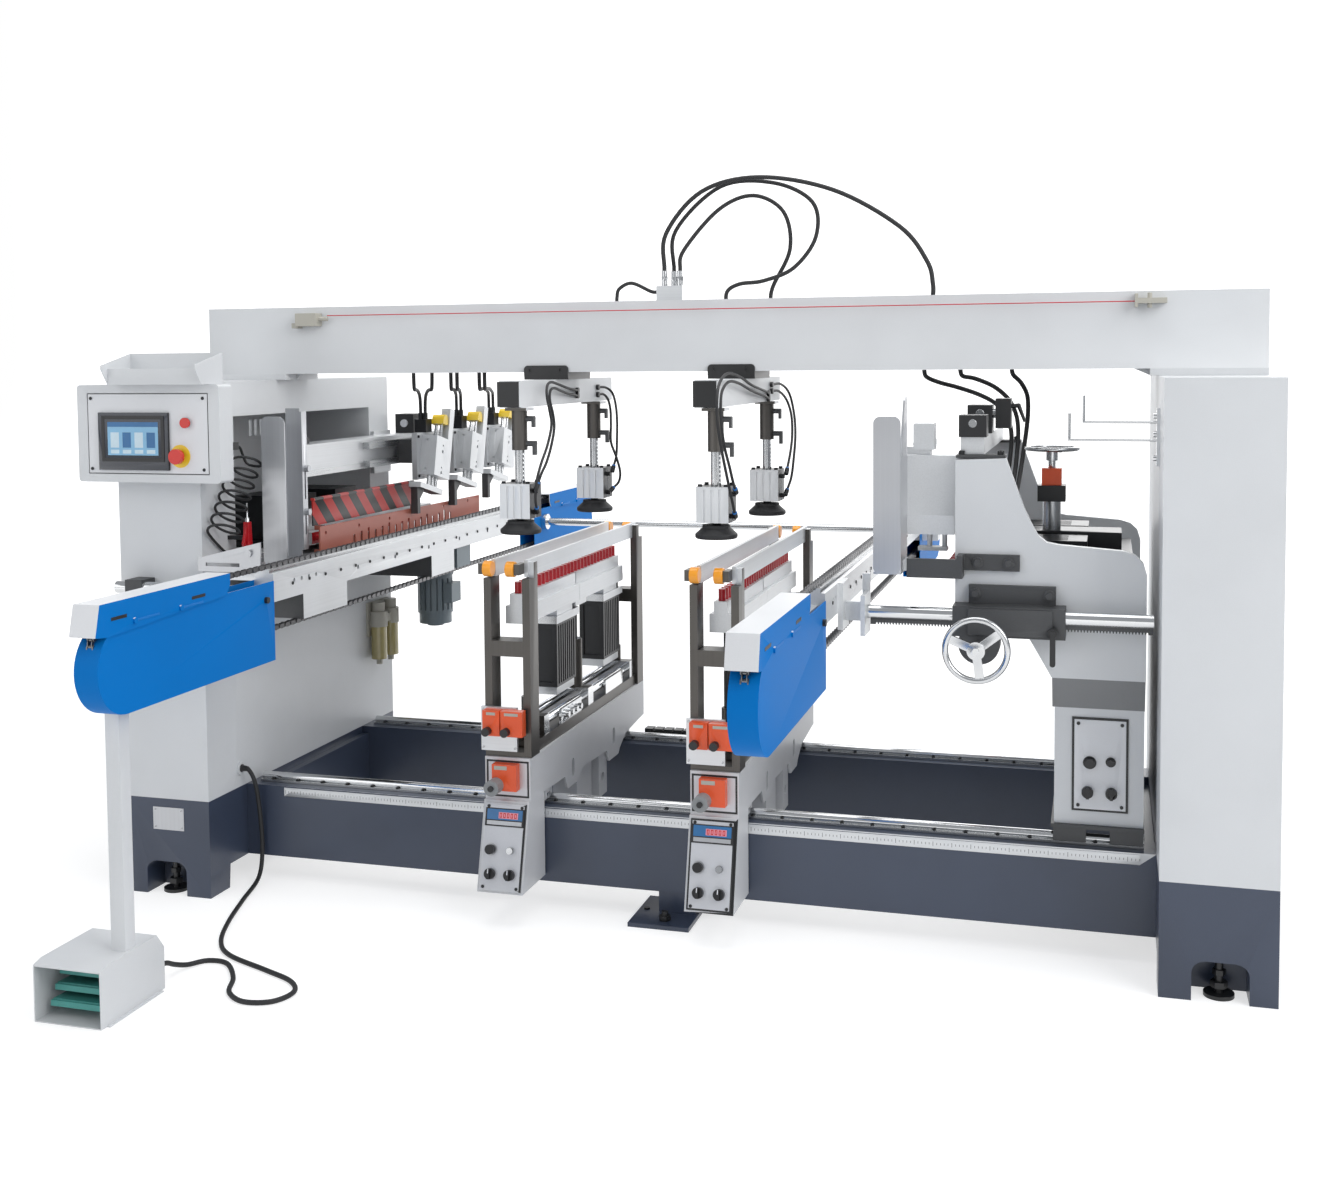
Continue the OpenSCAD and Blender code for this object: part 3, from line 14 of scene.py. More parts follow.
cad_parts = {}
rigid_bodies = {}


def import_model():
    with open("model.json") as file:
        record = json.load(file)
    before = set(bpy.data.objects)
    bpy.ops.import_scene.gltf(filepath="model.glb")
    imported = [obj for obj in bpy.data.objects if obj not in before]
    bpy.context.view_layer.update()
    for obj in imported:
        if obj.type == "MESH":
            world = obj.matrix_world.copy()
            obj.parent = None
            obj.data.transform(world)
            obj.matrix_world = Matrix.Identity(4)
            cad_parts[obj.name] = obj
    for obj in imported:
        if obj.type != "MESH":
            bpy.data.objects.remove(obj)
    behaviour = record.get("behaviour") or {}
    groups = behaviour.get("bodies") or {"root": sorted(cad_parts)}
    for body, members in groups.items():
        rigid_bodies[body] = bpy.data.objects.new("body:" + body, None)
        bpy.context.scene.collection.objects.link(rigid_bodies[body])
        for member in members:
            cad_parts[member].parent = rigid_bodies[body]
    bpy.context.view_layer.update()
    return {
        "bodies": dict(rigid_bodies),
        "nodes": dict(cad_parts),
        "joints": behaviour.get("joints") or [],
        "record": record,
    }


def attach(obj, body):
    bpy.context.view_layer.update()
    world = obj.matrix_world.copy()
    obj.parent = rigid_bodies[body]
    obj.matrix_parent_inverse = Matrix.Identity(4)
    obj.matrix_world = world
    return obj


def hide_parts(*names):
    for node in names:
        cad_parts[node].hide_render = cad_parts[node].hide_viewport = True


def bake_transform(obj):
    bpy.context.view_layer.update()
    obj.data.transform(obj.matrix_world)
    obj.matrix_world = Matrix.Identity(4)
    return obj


LOG = logging.getLogger("line_boring_machine")

Colour = tuple[float, float, float]
Point = tuple[float, float, float]
Span = tuple[float, float]

ORIGIN_X = 1563.5
ORIGIN_Y = 904.5
MM = 0.001


def at(x: float, y: float, z: float) -> Vector:
    """Turns machine millimetres into a point of the row frame.

    Args:
        x: Distance to the right of the left pillar's outer face.
        y: Distance behind the pillars' front faces.
        z: Height above the floor.

    Returns:
        The point in metres.
    """
    return Vector(((x - ORIGIN_X) * MM, (y - ORIGIN_Y) * MM, z * MM))


class Grain(Enum):
    """How the fine surface of a finish runs."""

    PEEL = "sprayed paint with an orange peel"
    CAST = "cast or blasted surface"
    ALONG_X = "brushed along the gantry"
    ALONG_Y = "brushed along the conveyors"
    ALONG_Z = "brushed upright"
    POLISHED = "polished or ground bright"
    MOULDED = "moulded plastic or rubber"


@dataclass(frozen=True)
class Finish:
    """A named surface finish."""

    name: str
    colour: Colour
    roughness: float
    metallic: float = 0.0
    coat: float = 0.0
    grain: Grain = Grain.PEEL
    mottle: float = 0.05
    relief: float = 0.08
    gloss: float = 0.5
    stripe: float = 0.0


@dataclass(frozen=True)
class Zone:
    """A box of machine space in which a node wears another finish."""

    finish: Finish
    x: Span = (-9e3, 9e3)
    y: Span = (-9e3, 9e3)
    z: Span = (-9e3, 9e3)


LIGHT_GREY = Finish("light_grey_powder", (0.66, 0.675, 0.69), 0.42, coat=0.12, mottle=0.03, relief=0.10)
NAVY = Finish("navy_enamel", (0.040, 0.054, 0.090), 0.36, coat=0.25, mottle=0.10, relief=0.14)
BLUE = Finish("blue_powder", (0.0, 0.162, 0.520), 0.50, coat=0.0, mottle=0.03, relief=0.06, gloss=0.10)
WHITE = Finish("white_powder", (0.72, 0.73, 0.75), 0.40, coat=0.12, mottle=0.03, relief=0.08)
MOTOR_GREY = Finish("motor_enamel", (0.17, 0.21, 0.235), 0.45, coat=0.1, grain=Grain.CAST, relief=0.2)
RUST = Finish("rust_enamel", (0.44, 0.135, 0.095), 0.42, coat=0.1, mottle=0.10)
TEAL = Finish("teal_enamel", (0.060, 0.300, 0.270), 0.45, mottle=0.10)
DARK_STEEL = Finish("dark_steel", (0.070, 0.072, 0.075), 0.46, metallic=0.35, mottle=0.14, relief=0.12)
BRONZE = Finish("burnished_steel", (0.105, 0.098, 0.090), 0.36, metallic=0.75, grain=Grain.ALONG_Z, mottle=0.10)
BLACK = Finish("black_enamel", (0.012, 0.0125, 0.0135), 0.40, coat=0.1, mottle=0.15)
BLACK_SATIN = Finish("black_anodised", (0.016, 0.017, 0.019), 0.34, metallic=0.3, grain=Grain.ALONG_Z)
GROUND = Finish("ground_steel", (0.47, 0.48, 0.49), 0.24, metallic=1.0, grain=Grain.ALONG_X)
GROUND_Y = Finish("ground_steel_long", (0.50, 0.51, 0.52), 0.28, metallic=1.0, grain=Grain.ALONG_Y)
CHROME = Finish("chrome", (0.66, 0.67, 0.68), 0.14, metallic=1.0, grain=Grain.POLISHED, mottle=0.03)
CAST_CHROME = Finish("cast_chrome", (0.60, 0.61, 0.62), 0.22, metallic=1.0, grain=Grain.CAST, relief=0.06)
ALLOY_X = Finish("alloy_across", (0.64, 0.655, 0.67), 0.36, metallic=0.75, grain=Grain.ALONG_X)
ALLOY_Y = Finish("alloy_lengthwise", (0.70, 0.715, 0.73), 0.38, metallic=0.55, grain=Grain.ALONG_Y)
ALLOY_Z = Finish("alloy_upright", (0.64, 0.655, 0.67), 0.36, metallic=0.6, grain=Grain.ALONG_Z)
SHEET = Finish("sheet_alloy", (0.50, 0.51, 0.53), 0.34, metallic=0.85, grain=Grain.ALONG_Z)
CHAIN = Finish("oiled_chain", (0.17, 0.17, 0.175), 0.38, metallic=0.9, grain=Grain.CAST, mottle=0.2)
RED = Finish("red_plastic", (0.52, 0.010, 0.018), 0.28, coat=0.3, grain=Grain.MOULDED)
SIGNAL_RED = Finish("signal_red", (0.62, 0.018, 0.010), 0.26, coat=0.4, grain=Grain.MOULDED)
VERMILION = Finish("vermilion_plastic", (0.78, 0.085, 0.012), 0.32, coat=0.2, grain=Grain.MOULDED)
ORANGE = Finish("orange_plastic", (0.93, 0.36, 0.014), 0.30, coat=0.3, grain=Grain.MOULDED)
YELLOW = Finish("yellow_plastic", (0.86, 0.60, 0.03), 0.32, coat=0.2, grain=Grain.MOULDED)
RUBBER = Finish("black_rubber", (0.018, 0.0185, 0.020), 0.62, grain=Grain.MOULDED, relief=0.2)
PLASTIC = Finish("black_plastic", (0.014, 0.0145, 0.016), 0.38, grain=Grain.MOULDED, relief=0.1)
WARM_GREY = Finish("warm_grey_plastic", (0.44, 0.425, 0.37), 0.45, grain=Grain.MOULDED, relief=0.1)
RING_BLUE = Finish("blue_ring", (0.02, 0.17, 0.52), 0.35, grain=Grain.MOULDED)
SCREEN = Finish("dark_glass", (0.010, 0.016, 0.030), 0.08, coat=0.6, grain=Grain.POLISHED, mottle=0.0)
# The light grey paint made darker: painted shade for the carriages' fronts, which stand in shade.
SHADED_LIGHT_GREY = Finish("head_grey_powder", (0.62, 0.63, 0.65), 0.42, coat=0.12, mottle=0.04, relief=0.10)
PANEL_GREY = Finish("panel_grey", (0.58, 0.59, 0.62), 0.38, metallic=0.3, mottle=0.05)
DIAL_GREY = Finish("dial_grey", (0.25, 0.26, 0.265), 0.42, grain=Grain.MOULDED, relief=0.1)
LIT_PINK = Finish("lit_window", (0.80, 0.30, 0.36), 0.2, grain=Grain.POLISHED, mottle=0.02)
SHELF_GREY = Finish("shelf_grey_powder", (0.22, 0.225, 0.23), 0.5, mottle=0.06, relief=0.12)
AMBER = Finish("amber_bowl", (0.42, 0.36, 0.16), 0.12, coat=0.5, grain=Grain.POLISHED, mottle=0.08)
PAGE = Finish("screen_page", (0.25, 0.50, 0.72), 0.2, grain=Grain.POLISHED, mottle=0.05)
PAGE_BAR = Finish("screen_bar", (0.04, 0.16, 0.36), 0.2, grain=Grain.POLISHED, mottle=0.05)
PAGE_LIGHT = Finish("screen_light", (0.60, 0.74, 0.82), 0.2, grain=Grain.POLISHED, mottle=0.05)
STRIPES = Finish("striped_guard", (0.50, 0.03, 0.025), 0.4, coat=0.1, mottle=0.05, stripe=0.11)
BRASS = Finish("brass", (0.62, 0.43, 0.14), 0.3, metallic=1.0, grain=Grain.POLISHED)


class Value:
    """A shader socket that takes part in Python arithmetic."""

    def __init__(self, graph: "Graph", socket: bpy.types.NodeSocket) -> None:
        """Wraps a socket of a graph."""
        self.graph = graph
        self.socket = socket

    def _apply(self, operation: str, first: object, second: object = None) -> "Value":
        """Adds one Math node and returns its result."""
        inputs = {0: first} if second is None else {0: first, 1: second}
        return self.graph.value("ShaderNodeMath", {"operation": operation}, inputs)

    def __add__(self, other: object) -> "Value":
        """Adds a value or number."""
        return self._apply("ADD", self, other)

    __radd__ = __add__

    def __mul__(self, other: object) -> "Value":
        """Multiplies by a value or number."""
        return self._apply("MULTIPLY", self, other)

    __rmul__ = __mul__

    def __sub__(self, other: object) -> "Value":
        """Subtracts a value or number."""
        return self._apply("SUBTRACT", self, other)

    def __rsub__(self, other: object) -> "Value":
        """Is subtracted from a number."""
        return self._apply("SUBTRACT", other, self)

    def __truediv__(self, other: object) -> "Value":
        """Divides by a value or number."""
        return self._apply("DIVIDE", self, other)

    def above(self, limit: float) -> "Value":
        """Is 1 where the value is over the limit."""
        return self._apply("GREATER_THAN", self, limit)

    def below(self, limit: float) -> "Value":
        """Is 1 where the value is under the limit."""
        return self._apply("LESS_THAN", self, limit)

    def wave(self, length: float) -> "Value":
        """Runs through 0 to 1 once in each length."""
        return self._apply("FRACT", self / length)

    def larger(self, other: "Value") -> "Value":
        """Takes the larger of two values."""
        return self._apply("MAXIMUM", self, other)


class Graph:
    """Builds the node tree of one material."""

    def __init__(self, name: str) -> None:
        """Starts an empty tree for a new material of that name."""
        self.material = bpy.data.materials.new(name)
        self.material.use_nodes = True
        self.tree = self.material.node_tree
        self.tree.nodes.clear()
        self.coordinates = self.node("ShaderNodeTexCoord").outputs["Object"]
        split = self.node("ShaderNodeSeparateXYZ", inputs={0: self.coordinates})
        self.x, self.y, self.z = (Value(self, split.outputs[i]) for i in range(3))

    def node(
        self, kind: str, settings: dict[str, object] | None = None, inputs: dict[object, object] | None = None
    ) -> bpy.types.Node:
        """Adds a node.

        Args:
            kind: The node's type.
            settings: Properties that are set before its sockets.
            inputs: Values, sockets or wrapped values by socket name or index.

        Returns:
            The new node.
        """
        made = self.tree.nodes.new(kind)
        for key, value in (settings or {}).items():
            if key == "stops":
                self._stops(made.color_ramp, value)
            else:
                setattr(made, key, value)
        for key, value in (inputs or {}).items():
            if isinstance(value, Value):
                value = value.socket
            if isinstance(value, bpy.types.NodeSocket):
                self.tree.links.new(value, made.inputs[key])
            else:
                made.inputs[key].default_value = value
        return made

    def value(self, kind: str, settings: dict[str, object], inputs: dict[object, object]) -> Value:
        """Adds a node and wraps its first output."""
        return Value(self, self.node(kind, settings, inputs).outputs[0])

    @staticmethod
    def _stops(ramp: bpy.types.ColorRamp, stops: Sequence[tuple[float, Colour]]) -> None:
        """Sets the stops of a colour ramp."""
        while len(ramp.elements) < len(stops):
            ramp.elements.new(1.0)
        for element, (place, colour) in zip(ramp.elements, stops):
            element.position = place
            element.color = (*colour, 1.0)

    def noise(self, scale: float, stretch: Point = (1.0, 1.0, 1.0), detail: float = 3.0) -> Value:
        """Adds a noise pattern, stretched along an axis if asked."""
        mapped = self.node("ShaderNodeMapping", inputs={"Vector": self.coordinates, "Scale": stretch})
        made = self.node(
            "ShaderNodeTexNoise", inputs={"Vector": mapped.outputs[0], "Scale": scale, "Detail": detail}
        )
        return Value(self, made.outputs[0])

    def mix(self, factor: object, first: object, second: object) -> bpy.types.NodeSocket:
        """Mixes two colours."""
        made = self.node("ShaderNodeMix", {"data_type": "RGBA"})
        pairs = ((made.inputs[0], factor), (made.inputs[6], first), (made.inputs[7], second))
        for socket, value in pairs:
            value = value.socket if isinstance(value, Value) else value
            if isinstance(value, bpy.types.NodeSocket):
                self.tree.links.new(value, socket)
            else:
                socket.default_value = value
        return made.outputs[2]


@dataclass
class Layer:
    """The sockets that one finish gives."""

    colour: bpy.types.NodeSocket
    roughness: Value
    height: Value


class Paintshop:
    """Makes each material once and dresses meshes with it."""

    STRETCH = {Grain.ALONG_X: (2.0, 260.0, 260.0), Grain.ALONG_Y: (260.0, 2.0, 260.0), Grain.ALONG_Z: (260.0, 260.0, 2.0)}
    FINE = {Grain.PEEL: 420.0, Grain.CAST: 300.0, Grain.POLISHED: 60.0, Grain.MOULDED: 700.0}

    def __init__(self) -> None:
        """Starts with no materials."""
        self.made: dict[str, bpy.types.Material] = {}

    def layer(self, graph: Graph, finish: Finish) -> Layer:
        """Lays one finish into a graph.

        Args:
            graph: The material's graph.
            finish: The finish to lay.

        Returns:
            Its colour, roughness and height.
        """
        cloud = graph.noise(3.1, detail=5.0)
        if finish.grain in self.STRETCH:
            fine = graph.noise(1.0, self.STRETCH[finish.grain], 2.0)
        else:
            fine = graph.noise(self.FINE[finish.grain])
        dark = tuple(c * (1.0 - 2.2 * finish.mottle) for c in finish.colour)
        light = tuple(min(c * (1.0 + 1.4 * finish.mottle), 1.0) for c in finish.colour)
        shade = cloud * 0.7 + fine * 0.3
        ramp = graph.node(
            "ShaderNodeValToRGB", {"stops": ((0.30, dark), (0.52, finish.colour), (0.74, light))}, {0: shade}
        )
        roughness = finish.roughness * 0.82 + (cloud + fine) * (finish.roughness * 0.18)
        colour = ramp.outputs[0]
        if finish.stripe > 0.0:
            band = (graph.y + graph.z).wave(finish.stripe).above(0.5)
            colour = graph.mix(band, colour, (0.013, 0.013, 0.014, 1.0))
        return Layer(colour, roughness, fine * finish.relief)

    def material(self, finish: Finish) -> bpy.types.Material:
        """Makes the material of a finish, or returns the one made before."""
        if finish.name in self.made:
            return self.made[finish.name]
        graph = Graph(finish.name)
        layer = self.layer(graph, finish)
        bump = graph.node("ShaderNodeBump", inputs={"Strength": 0.35, "Distance": 0.0006, "Height": layer.height})
        shader = graph.node(
            "ShaderNodeBsdfPrincipled",
            inputs={"Base Color": layer.colour, "Roughness": layer.roughness, "Normal": bump.outputs[0]},
        )
        shader.inputs["Metallic"].default_value = finish.metallic
        shader.inputs["Coat Weight"].default_value = finish.coat
        shader.inputs["Coat Roughness"].default_value = 0.25
        shader.inputs["Specular IOR Level"].default_value = finish.gloss
        graph.node("ShaderNodeOutputMaterial", inputs={"Surface": shader.outputs[0]})
        self.made[finish.name] = graph.material
        return graph.material


@dataclass
class Studio:
    """The camera, the pale floor, the backdrop and the lamps."""

    lens: float = 41.51
    shift_y: float = -0.1103
    place: Point = (1.2335, -4.7645, 1.575)
    turn: float = 16.27
    tilt: float = 3.34
    roll: float = -0.48
    floor_reach: float = 14.0
    backdrop_height: float = 9.0

    def build(self) -> None:
        """Makes everything that isn't part of the machine."""
        self.camera()
        self.backdrop()
        self.lamps()
        self.world()

    def camera(self) -> None:
        """Places the camera at the photograph's viewpoint."""
        turn, tilt, roll = (math.radians(a) for a in (self.turn, self.tilt, self.roll))
        forward = Vector((-math.sin(turn) * math.cos(tilt), math.cos(turn) * math.cos(tilt), -math.sin(tilt)))
        level = forward.cross(Vector((0.0, 0.0, 1.0))).normalized()
        upright = level.cross(forward)
        right = level * math.cos(roll) + upright * math.sin(roll)
        up = right.cross(forward)
        data = bpy.data.cameras.new("camera")
        data.sensor_fit = "HORIZONTAL"
        data.sensor_width = 36.0
        data.lens = self.lens
        data.shift_y = self.shift_y
        data.clip_end = 60.0
        camera = bpy.data.objects.new("camera", data)
        turned = Matrix((right, up, -forward)).transposed().to_4x4()
        camera.matrix_world = Matrix.Translation(self.place) @ turned
        bpy.context.scene.collection.objects.link(camera)
        bpy.context.scene.camera = camera

    def backdrop(self) -> None:
        """Makes the floor and the wall behind it, swept into one sheet."""
        reach, high, bend = self.floor_reach, self.backdrop_height, 2.0
        profile = [(-reach, 0.0)]
        for step in range(13):
            angle = math.radians(90.0 * step / 12)
            profile.append((reach - bend + bend * math.sin(angle), bend - bend * math.cos(angle)))
        profile.append((reach, high))
        made = bmesh.new()
        rows = [[made.verts.new((x, y, z)) for y, z in profile] for x in (-reach, reach)]
        for step in range(len(profile) - 1):
            made.faces.new((rows[0][step], rows[1][step], rows[1][step + 1], rows[0][step + 1]))
        mesh = bpy.data.meshes.new("backdrop")
        made.to_mesh(mesh)
        made.free()
        for polygon in mesh.polygons:
            polygon.use_smooth = True
        sheet = bpy.data.objects.new("backdrop", mesh)
        bpy.context.scene.collection.objects.link(sheet)
        mesh.materials.append(self.floor_material())

    @staticmethod
    def floor_material() -> bpy.types.Material:
        """Makes the floor's material, white to the camera except in shadow."""
        graph = Graph("studio_floor")
        grain = graph.noise(2.0, detail=4.0)
        shade = graph.node(
            "ShaderNodeValToRGB",
            {"stops": ((0.3, (0.86, 0.86, 0.86)), (0.7, (0.89, 0.89, 0.89)))},
            {0: grain},
        )
        plain = graph.node("ShaderNodeBsdfDiffuse", inputs={"Color": shade.outputs[0]})
        white = graph.node("ShaderNodeEmission", inputs={"Color": (1.0, 1.0, 1.0, 1.0), "Strength": 1.5})
        rays = graph.node("ShaderNodeLightPath")
        seen = Value(graph, rays.outputs["Is Camera Ray"]).larger(Value(graph, rays.outputs["Is Glossy Ray"]))
        away = graph.x * graph.x + graph.y * graph.y
        share = graph.value("ShaderNodeMapRange", {}, {0: away, 1: 6.0, 2: 30.0, 3: 0.42, 4: 1.0})
        both = graph.node("ShaderNodeMixShader", inputs={0: share * seen, 1: plain.outputs[0], 2: white.outputs[0]})
        graph.node("ShaderNodeOutputMaterial", inputs={"Surface": both.outputs[0]})
        return graph.material

    def lamps(self) -> None:
        """Hangs the soft lamps."""
        self.lamp("key_lamp", (5.2, -3.4, 4.2), (0.0, 0.0, 0.8), 4.2, 210.0)
        self.lamp("fill_lamp", (-3.6, -5.0, 3.0), (-0.4, 0.0, 0.8), 4.0, 60.0)
        self.lamp("top_lamp", (0.0, 0.4, 5.4), (0.0, 0.2, 0.0), 5.0, 190.0)
        self.lamp("back_lamp", (1.5, 5.4, 3.6), (0.0, 0.6, 1.0), 4.0, 90.0)

    @staticmethod
    def lamp(name: str, place: Point, target: Point, size: float, watts: float) -> None:
        """Hangs one square area lamp.

        Args:
            name: The lamp's name.
            place: Where it hangs.
            target: The point it faces.
            size: The length of its sides.
            watts: Its power.
        """
        data = bpy.data.lights.new(name, "AREA")
        data.shape = "SQUARE"
        data.size = size
        data.energy = watts
        lamp = bpy.data.objects.new(name, data)
        lamp.location = place
        lamp.rotation_euler = (Vector(target) - Vector(place)).to_track_quat("-Z", "Y").to_euler()
        bpy.context.scene.collection.objects.link(lamp)

    @staticmethod
    def world() -> None:
        """Sets the room's even light and the white that the camera sees."""
        world = bpy.data.worlds.new("studio")
        bpy.context.scene.world = world
        world.use_nodes = True
        tree = world.node_tree
        tree.nodes.clear()
        soft = tree.nodes.new("ShaderNodeBackground")
        soft.inputs["Color"].default_value = (0.93, 0.96, 1.0, 1.0)
        soft.inputs["Strength"].default_value = 0.45
        white = tree.nodes.new("ShaderNodeBackground")
        white.inputs["Color"].default_value = (1.0, 1.0, 1.0, 1.0)
        rays = tree.nodes.new("ShaderNodeLightPath")
        both = tree.nodes.new("ShaderNodeMixShader")
        out = tree.nodes.new("ShaderNodeOutputWorld")
        tree.links.new(rays.outputs["Is Camera Ray"], both.inputs[0])
        tree.links.new(soft.outputs[0], both.inputs[1])
        tree.links.new(white.outputs[0], both.inputs[2])
        tree.links.new(both.outputs[0], out.inputs["Surface"])


TO_ROW = Matrix.Translation((-ORIGIN_X * MM, -ORIGIN_Y * MM, 0.0)) @ Matrix.Scale(MM, 4)
AXES = {"x": Vector((1.0, 0.0, 0.0)), "y": Vector((0.0, 1.0, 0.0)), "z": Vector((0.0, 0.0, 1.0))}


def along(axis: str | Point) -> Matrix:
    """Makes the turn that takes the upright axis to another one."""
    direction = AXES[axis] if isinstance(axis, str) else Vector(axis)
    return direction.to_track_quat("Z", "Y").to_matrix().to_4x4()


class Shape:
    """A mesh built in machine millimetres, with a finish for each face."""

    def __init__(self, shop: Paintshop, name: str) -> None:
        """Starts an empty shape."""
        self.shop = shop
        self.name = name
        self.bm = bmesh.new()
        self.finishes: list[Finish] = []
        self.current = 0

    def wear(self, finish: Finish) -> "Shape":
        """Picks the finish of what is added next."""
        if finish not in self.finishes:
            self.finishes.append(finish)
        self.current = self.finishes.index(finish)
        return self

    def _paint(self, verts: Iterable[bmesh.types.BMVert]) -> None:
        """Gives the current finish to the faces of new vertices."""
        for face in {f for v in verts for f in v.link_faces}:
            face.material_index = self.current

    def box(self, x: Span, y: Span, z: Span, turn: Matrix | None = None) -> "Shape":
        """Adds a block.

        Args:
            x: Its lowest and highest x.
            y: Its lowest and highest y.
            z: Its lowest and highest z.
            turn: A turn about its own centre.

        Returns:
            The shape.
        """
        middle = Vector(((x[0] + x[1]) / 2, (y[0] + y[1]) / 2, (z[0] + z[1]) / 2))
        size = Matrix.Diagonal((x[1] - x[0], y[1] - y[0], z[1] - z[0], 1.0))
        matrix = Matrix.Translation(middle) @ (turn or Matrix.Identity(4)) @ size
        self._paint(bmesh.ops.create_cube(self.bm, size=1.0, matrix=matrix)["verts"])
        return self

    def rod(
        self, axis: str | Point, start: Point, length: float, radius: float, tip: float | None = None, sides: int = 24
    ) -> "Shape":
        """Adds a cylinder or cone.

        Args:
            axis: The direction it runs in.
            start: The centre of its first end.
            length: Its length.
            radius: Its radius at the start.
            tip: Its radius at the far end, if another.
            sides: The number of sides.

        Returns:
            The shape.
        """
        turn = along(axis)
        matrix = Matrix.Translation(start) @ turn @ Matrix.Translation((0.0, 0.0, length / 2))
        made = bmesh.ops.create_cone(
            self.bm,
            cap_ends=True,
            segments=sides,
            radius1=radius,
            radius2=radius if tip is None else tip,
            depth=length,
            matrix=matrix,
        )
        self._paint(made["verts"])
        return self

    def lathe(self, axis: str | Point, centre: Point, profile: Sequence[Span], sides: int = 32) -> "Shape":
        """Adds a turned form.

        Args:
            axis: The direction of its axis.
            centre: The point where the axis starts.
            profile: Radius and distance along the axis, from first to last.
            sides: The number of sides.

        Returns:
            The shape.
        """
        matrix = Matrix.Translation(centre) @ along(axis)
        rings: list[list[bmesh.types.BMVert]] = []
        for radius, height in profile:
            if radius <= 0.0:
                rings.append([self.bm.verts.new(matrix @ Vector((0.0, 0.0, height)))])
                continue
            ring = []
            for step in range(sides):
                angle = 2 * math.pi * step / sides
                ring.append(self.bm.verts.new(matrix @ Vector((radius * math.cos(angle), radius * math.sin(angle), height))))
            rings.append(ring)
        for low, high in zip(rings, rings[1:]):
            for step in range(sides):
                after = (step + 1) % sides
                corners = [low[step % len(low)], low[after % len(low)], high[after % len(high)], high[step % len(high)]]
                corners = list(dict.fromkeys(corners))
                if len(corners) > 2:
                    self.bm.faces.new(corners).material_index = self.current
        for ring in (rings[0], rings[-1]):
            if len(ring) > 1:
                self.bm.faces.new(ring).material_index = self.current
        return self

    def prism(self, axis: str, outline: Sequence[Span], span: Span) -> "Shape":
        """Adds an extruded outline.

        Args:
            axis: The axis it is extruded along.
            outline: Corners in the two other axes, in alphabetical order.
            span: Its start and end along the axis.

        Returns:
            The shape.
        """
        index = "xyz".index(axis)
        rings = []
        for level in span:
            ring = []
            for first, second in outline:
                corner = [first, second]
                corner.insert(index, level)
                ring.append(self.bm.verts.new(corner))
            rings.append(ring)
        count = len(outline)
        for ring in rings:
            self.bm.faces.new(ring).material_index = self.current
        for step in range(count):
            after = (step + 1) % count
            corners = (rings[0][step], rings[0][after], rings[1][after], rings[1][step])
            self.bm.faces.new(corners).material_index = self.current
        return self

    def tube(self, points: Sequence[Vector], radius: float, sides: int = 10) -> "Shape":
        """Adds a tube along points, closed at both ends.

        Args:
            points: The line it follows, in machine millimetres.
            radius: Its radius.
            sides: The number of sides.

        Returns:
            The shape.
        """
        rings = []
        ahead = (points[1] - points[0]).normalized()
        side = ahead.orthogonal().normalized()
        for index, point in enumerate(points):
            before, after = points[max(index - 1, 0)], points[min(index + 1, len(points) - 1)]
            tangent = (after - before).normalized()
            side = (side - tangent * side.dot(tangent)).normalized()
            other = tangent.cross(side)
            ring = []
            for step in range(sides):
                angle = 2 * math.pi * step / sides
                ring.append(self.bm.verts.new(point + (side * math.cos(angle) + other * math.sin(angle)) * radius))
            rings.append(ring)
        for low, high in zip(rings, rings[1:]):
            for step in range(sides):
                after = (step + 1) % sides
                self.bm.faces.new((low[step], low[after], high[after], high[step])).material_index = self.current
        for ring in (rings[0], rings[-1]):
            self.bm.faces.new(ring).material_index = self.current
        return self

    def node(self, frame: dict, node: str) -> "Shape":
        """Adds a merged copy of a CAD node's mesh in the current finish."""
        mesh = frame["nodes"][node].data.copy()
        mesh.transform(TO_ROW.inverted())
        before = len(self.bm.verts)
        self.bm.from_mesh(mesh)
        self.bm.verts.ensure_lookup_table()
        fresh = self.bm.verts[before:]
        for face in {f for v in fresh for f in v.link_faces}:
            face.material_index = self.current
        bmesh.ops.remove_doubles(self.bm, verts=fresh, dist=0.01)
        edges = [e for e in self.bm.edges]
        bmesh.ops.dissolve_limit(
            self.bm, angle_limit=math.radians(0.6), verts=self.bm.verts[:], edges=edges, delimit={"MATERIAL"}
        )
        bpy.data.meshes.remove(mesh)
        return self

    def zone(self, zone: Zone) -> "Shape":
        """Gives a finish to the faces whose middle is inside a box."""
        self.wear(zone.finish)
        for face in self.bm.faces:
            x, y, z = face.calc_center_median()
            inside = zone.x[0] <= x <= zone.x[1] and zone.y[0] <= y <= zone.y[1] and zone.z[0] <= z <= zone.z[1]
            if inside:
                face.material_index = self.current
        return self

    def cut(self, axis: str, level: float) -> "Shape":
        """Splits the faces along a plane, so that zones can meet there."""
        place = AXES[axis] * level
        everything = self.bm.verts[:] + self.bm.edges[:] + self.bm.faces[:]
        bmesh.ops.bisect_plane(self.bm, geom=everything, plane_co=place, plane_no=AXES[axis], dist=0.001)
        return self

    def close(self, smooth: float) -> bpy.types.Object:
        """Turns the shape into an object that no body carries yet."""
        mesh = bpy.data.meshes.new(self.name)
        self.bm.to_mesh(mesh)
        self.bm.free()
        mesh.transform(TO_ROW)
        for finish in self.finishes:
            mesh.materials.append(self.shop.material(finish))
        mesh.shade_smooth()
        mesh.set_sharp_from_angle(angle=math.radians(smooth))
        piece = bpy.data.objects.new(self.name, mesh)
        bpy.context.scene.collection.objects.link(piece)
        return piece

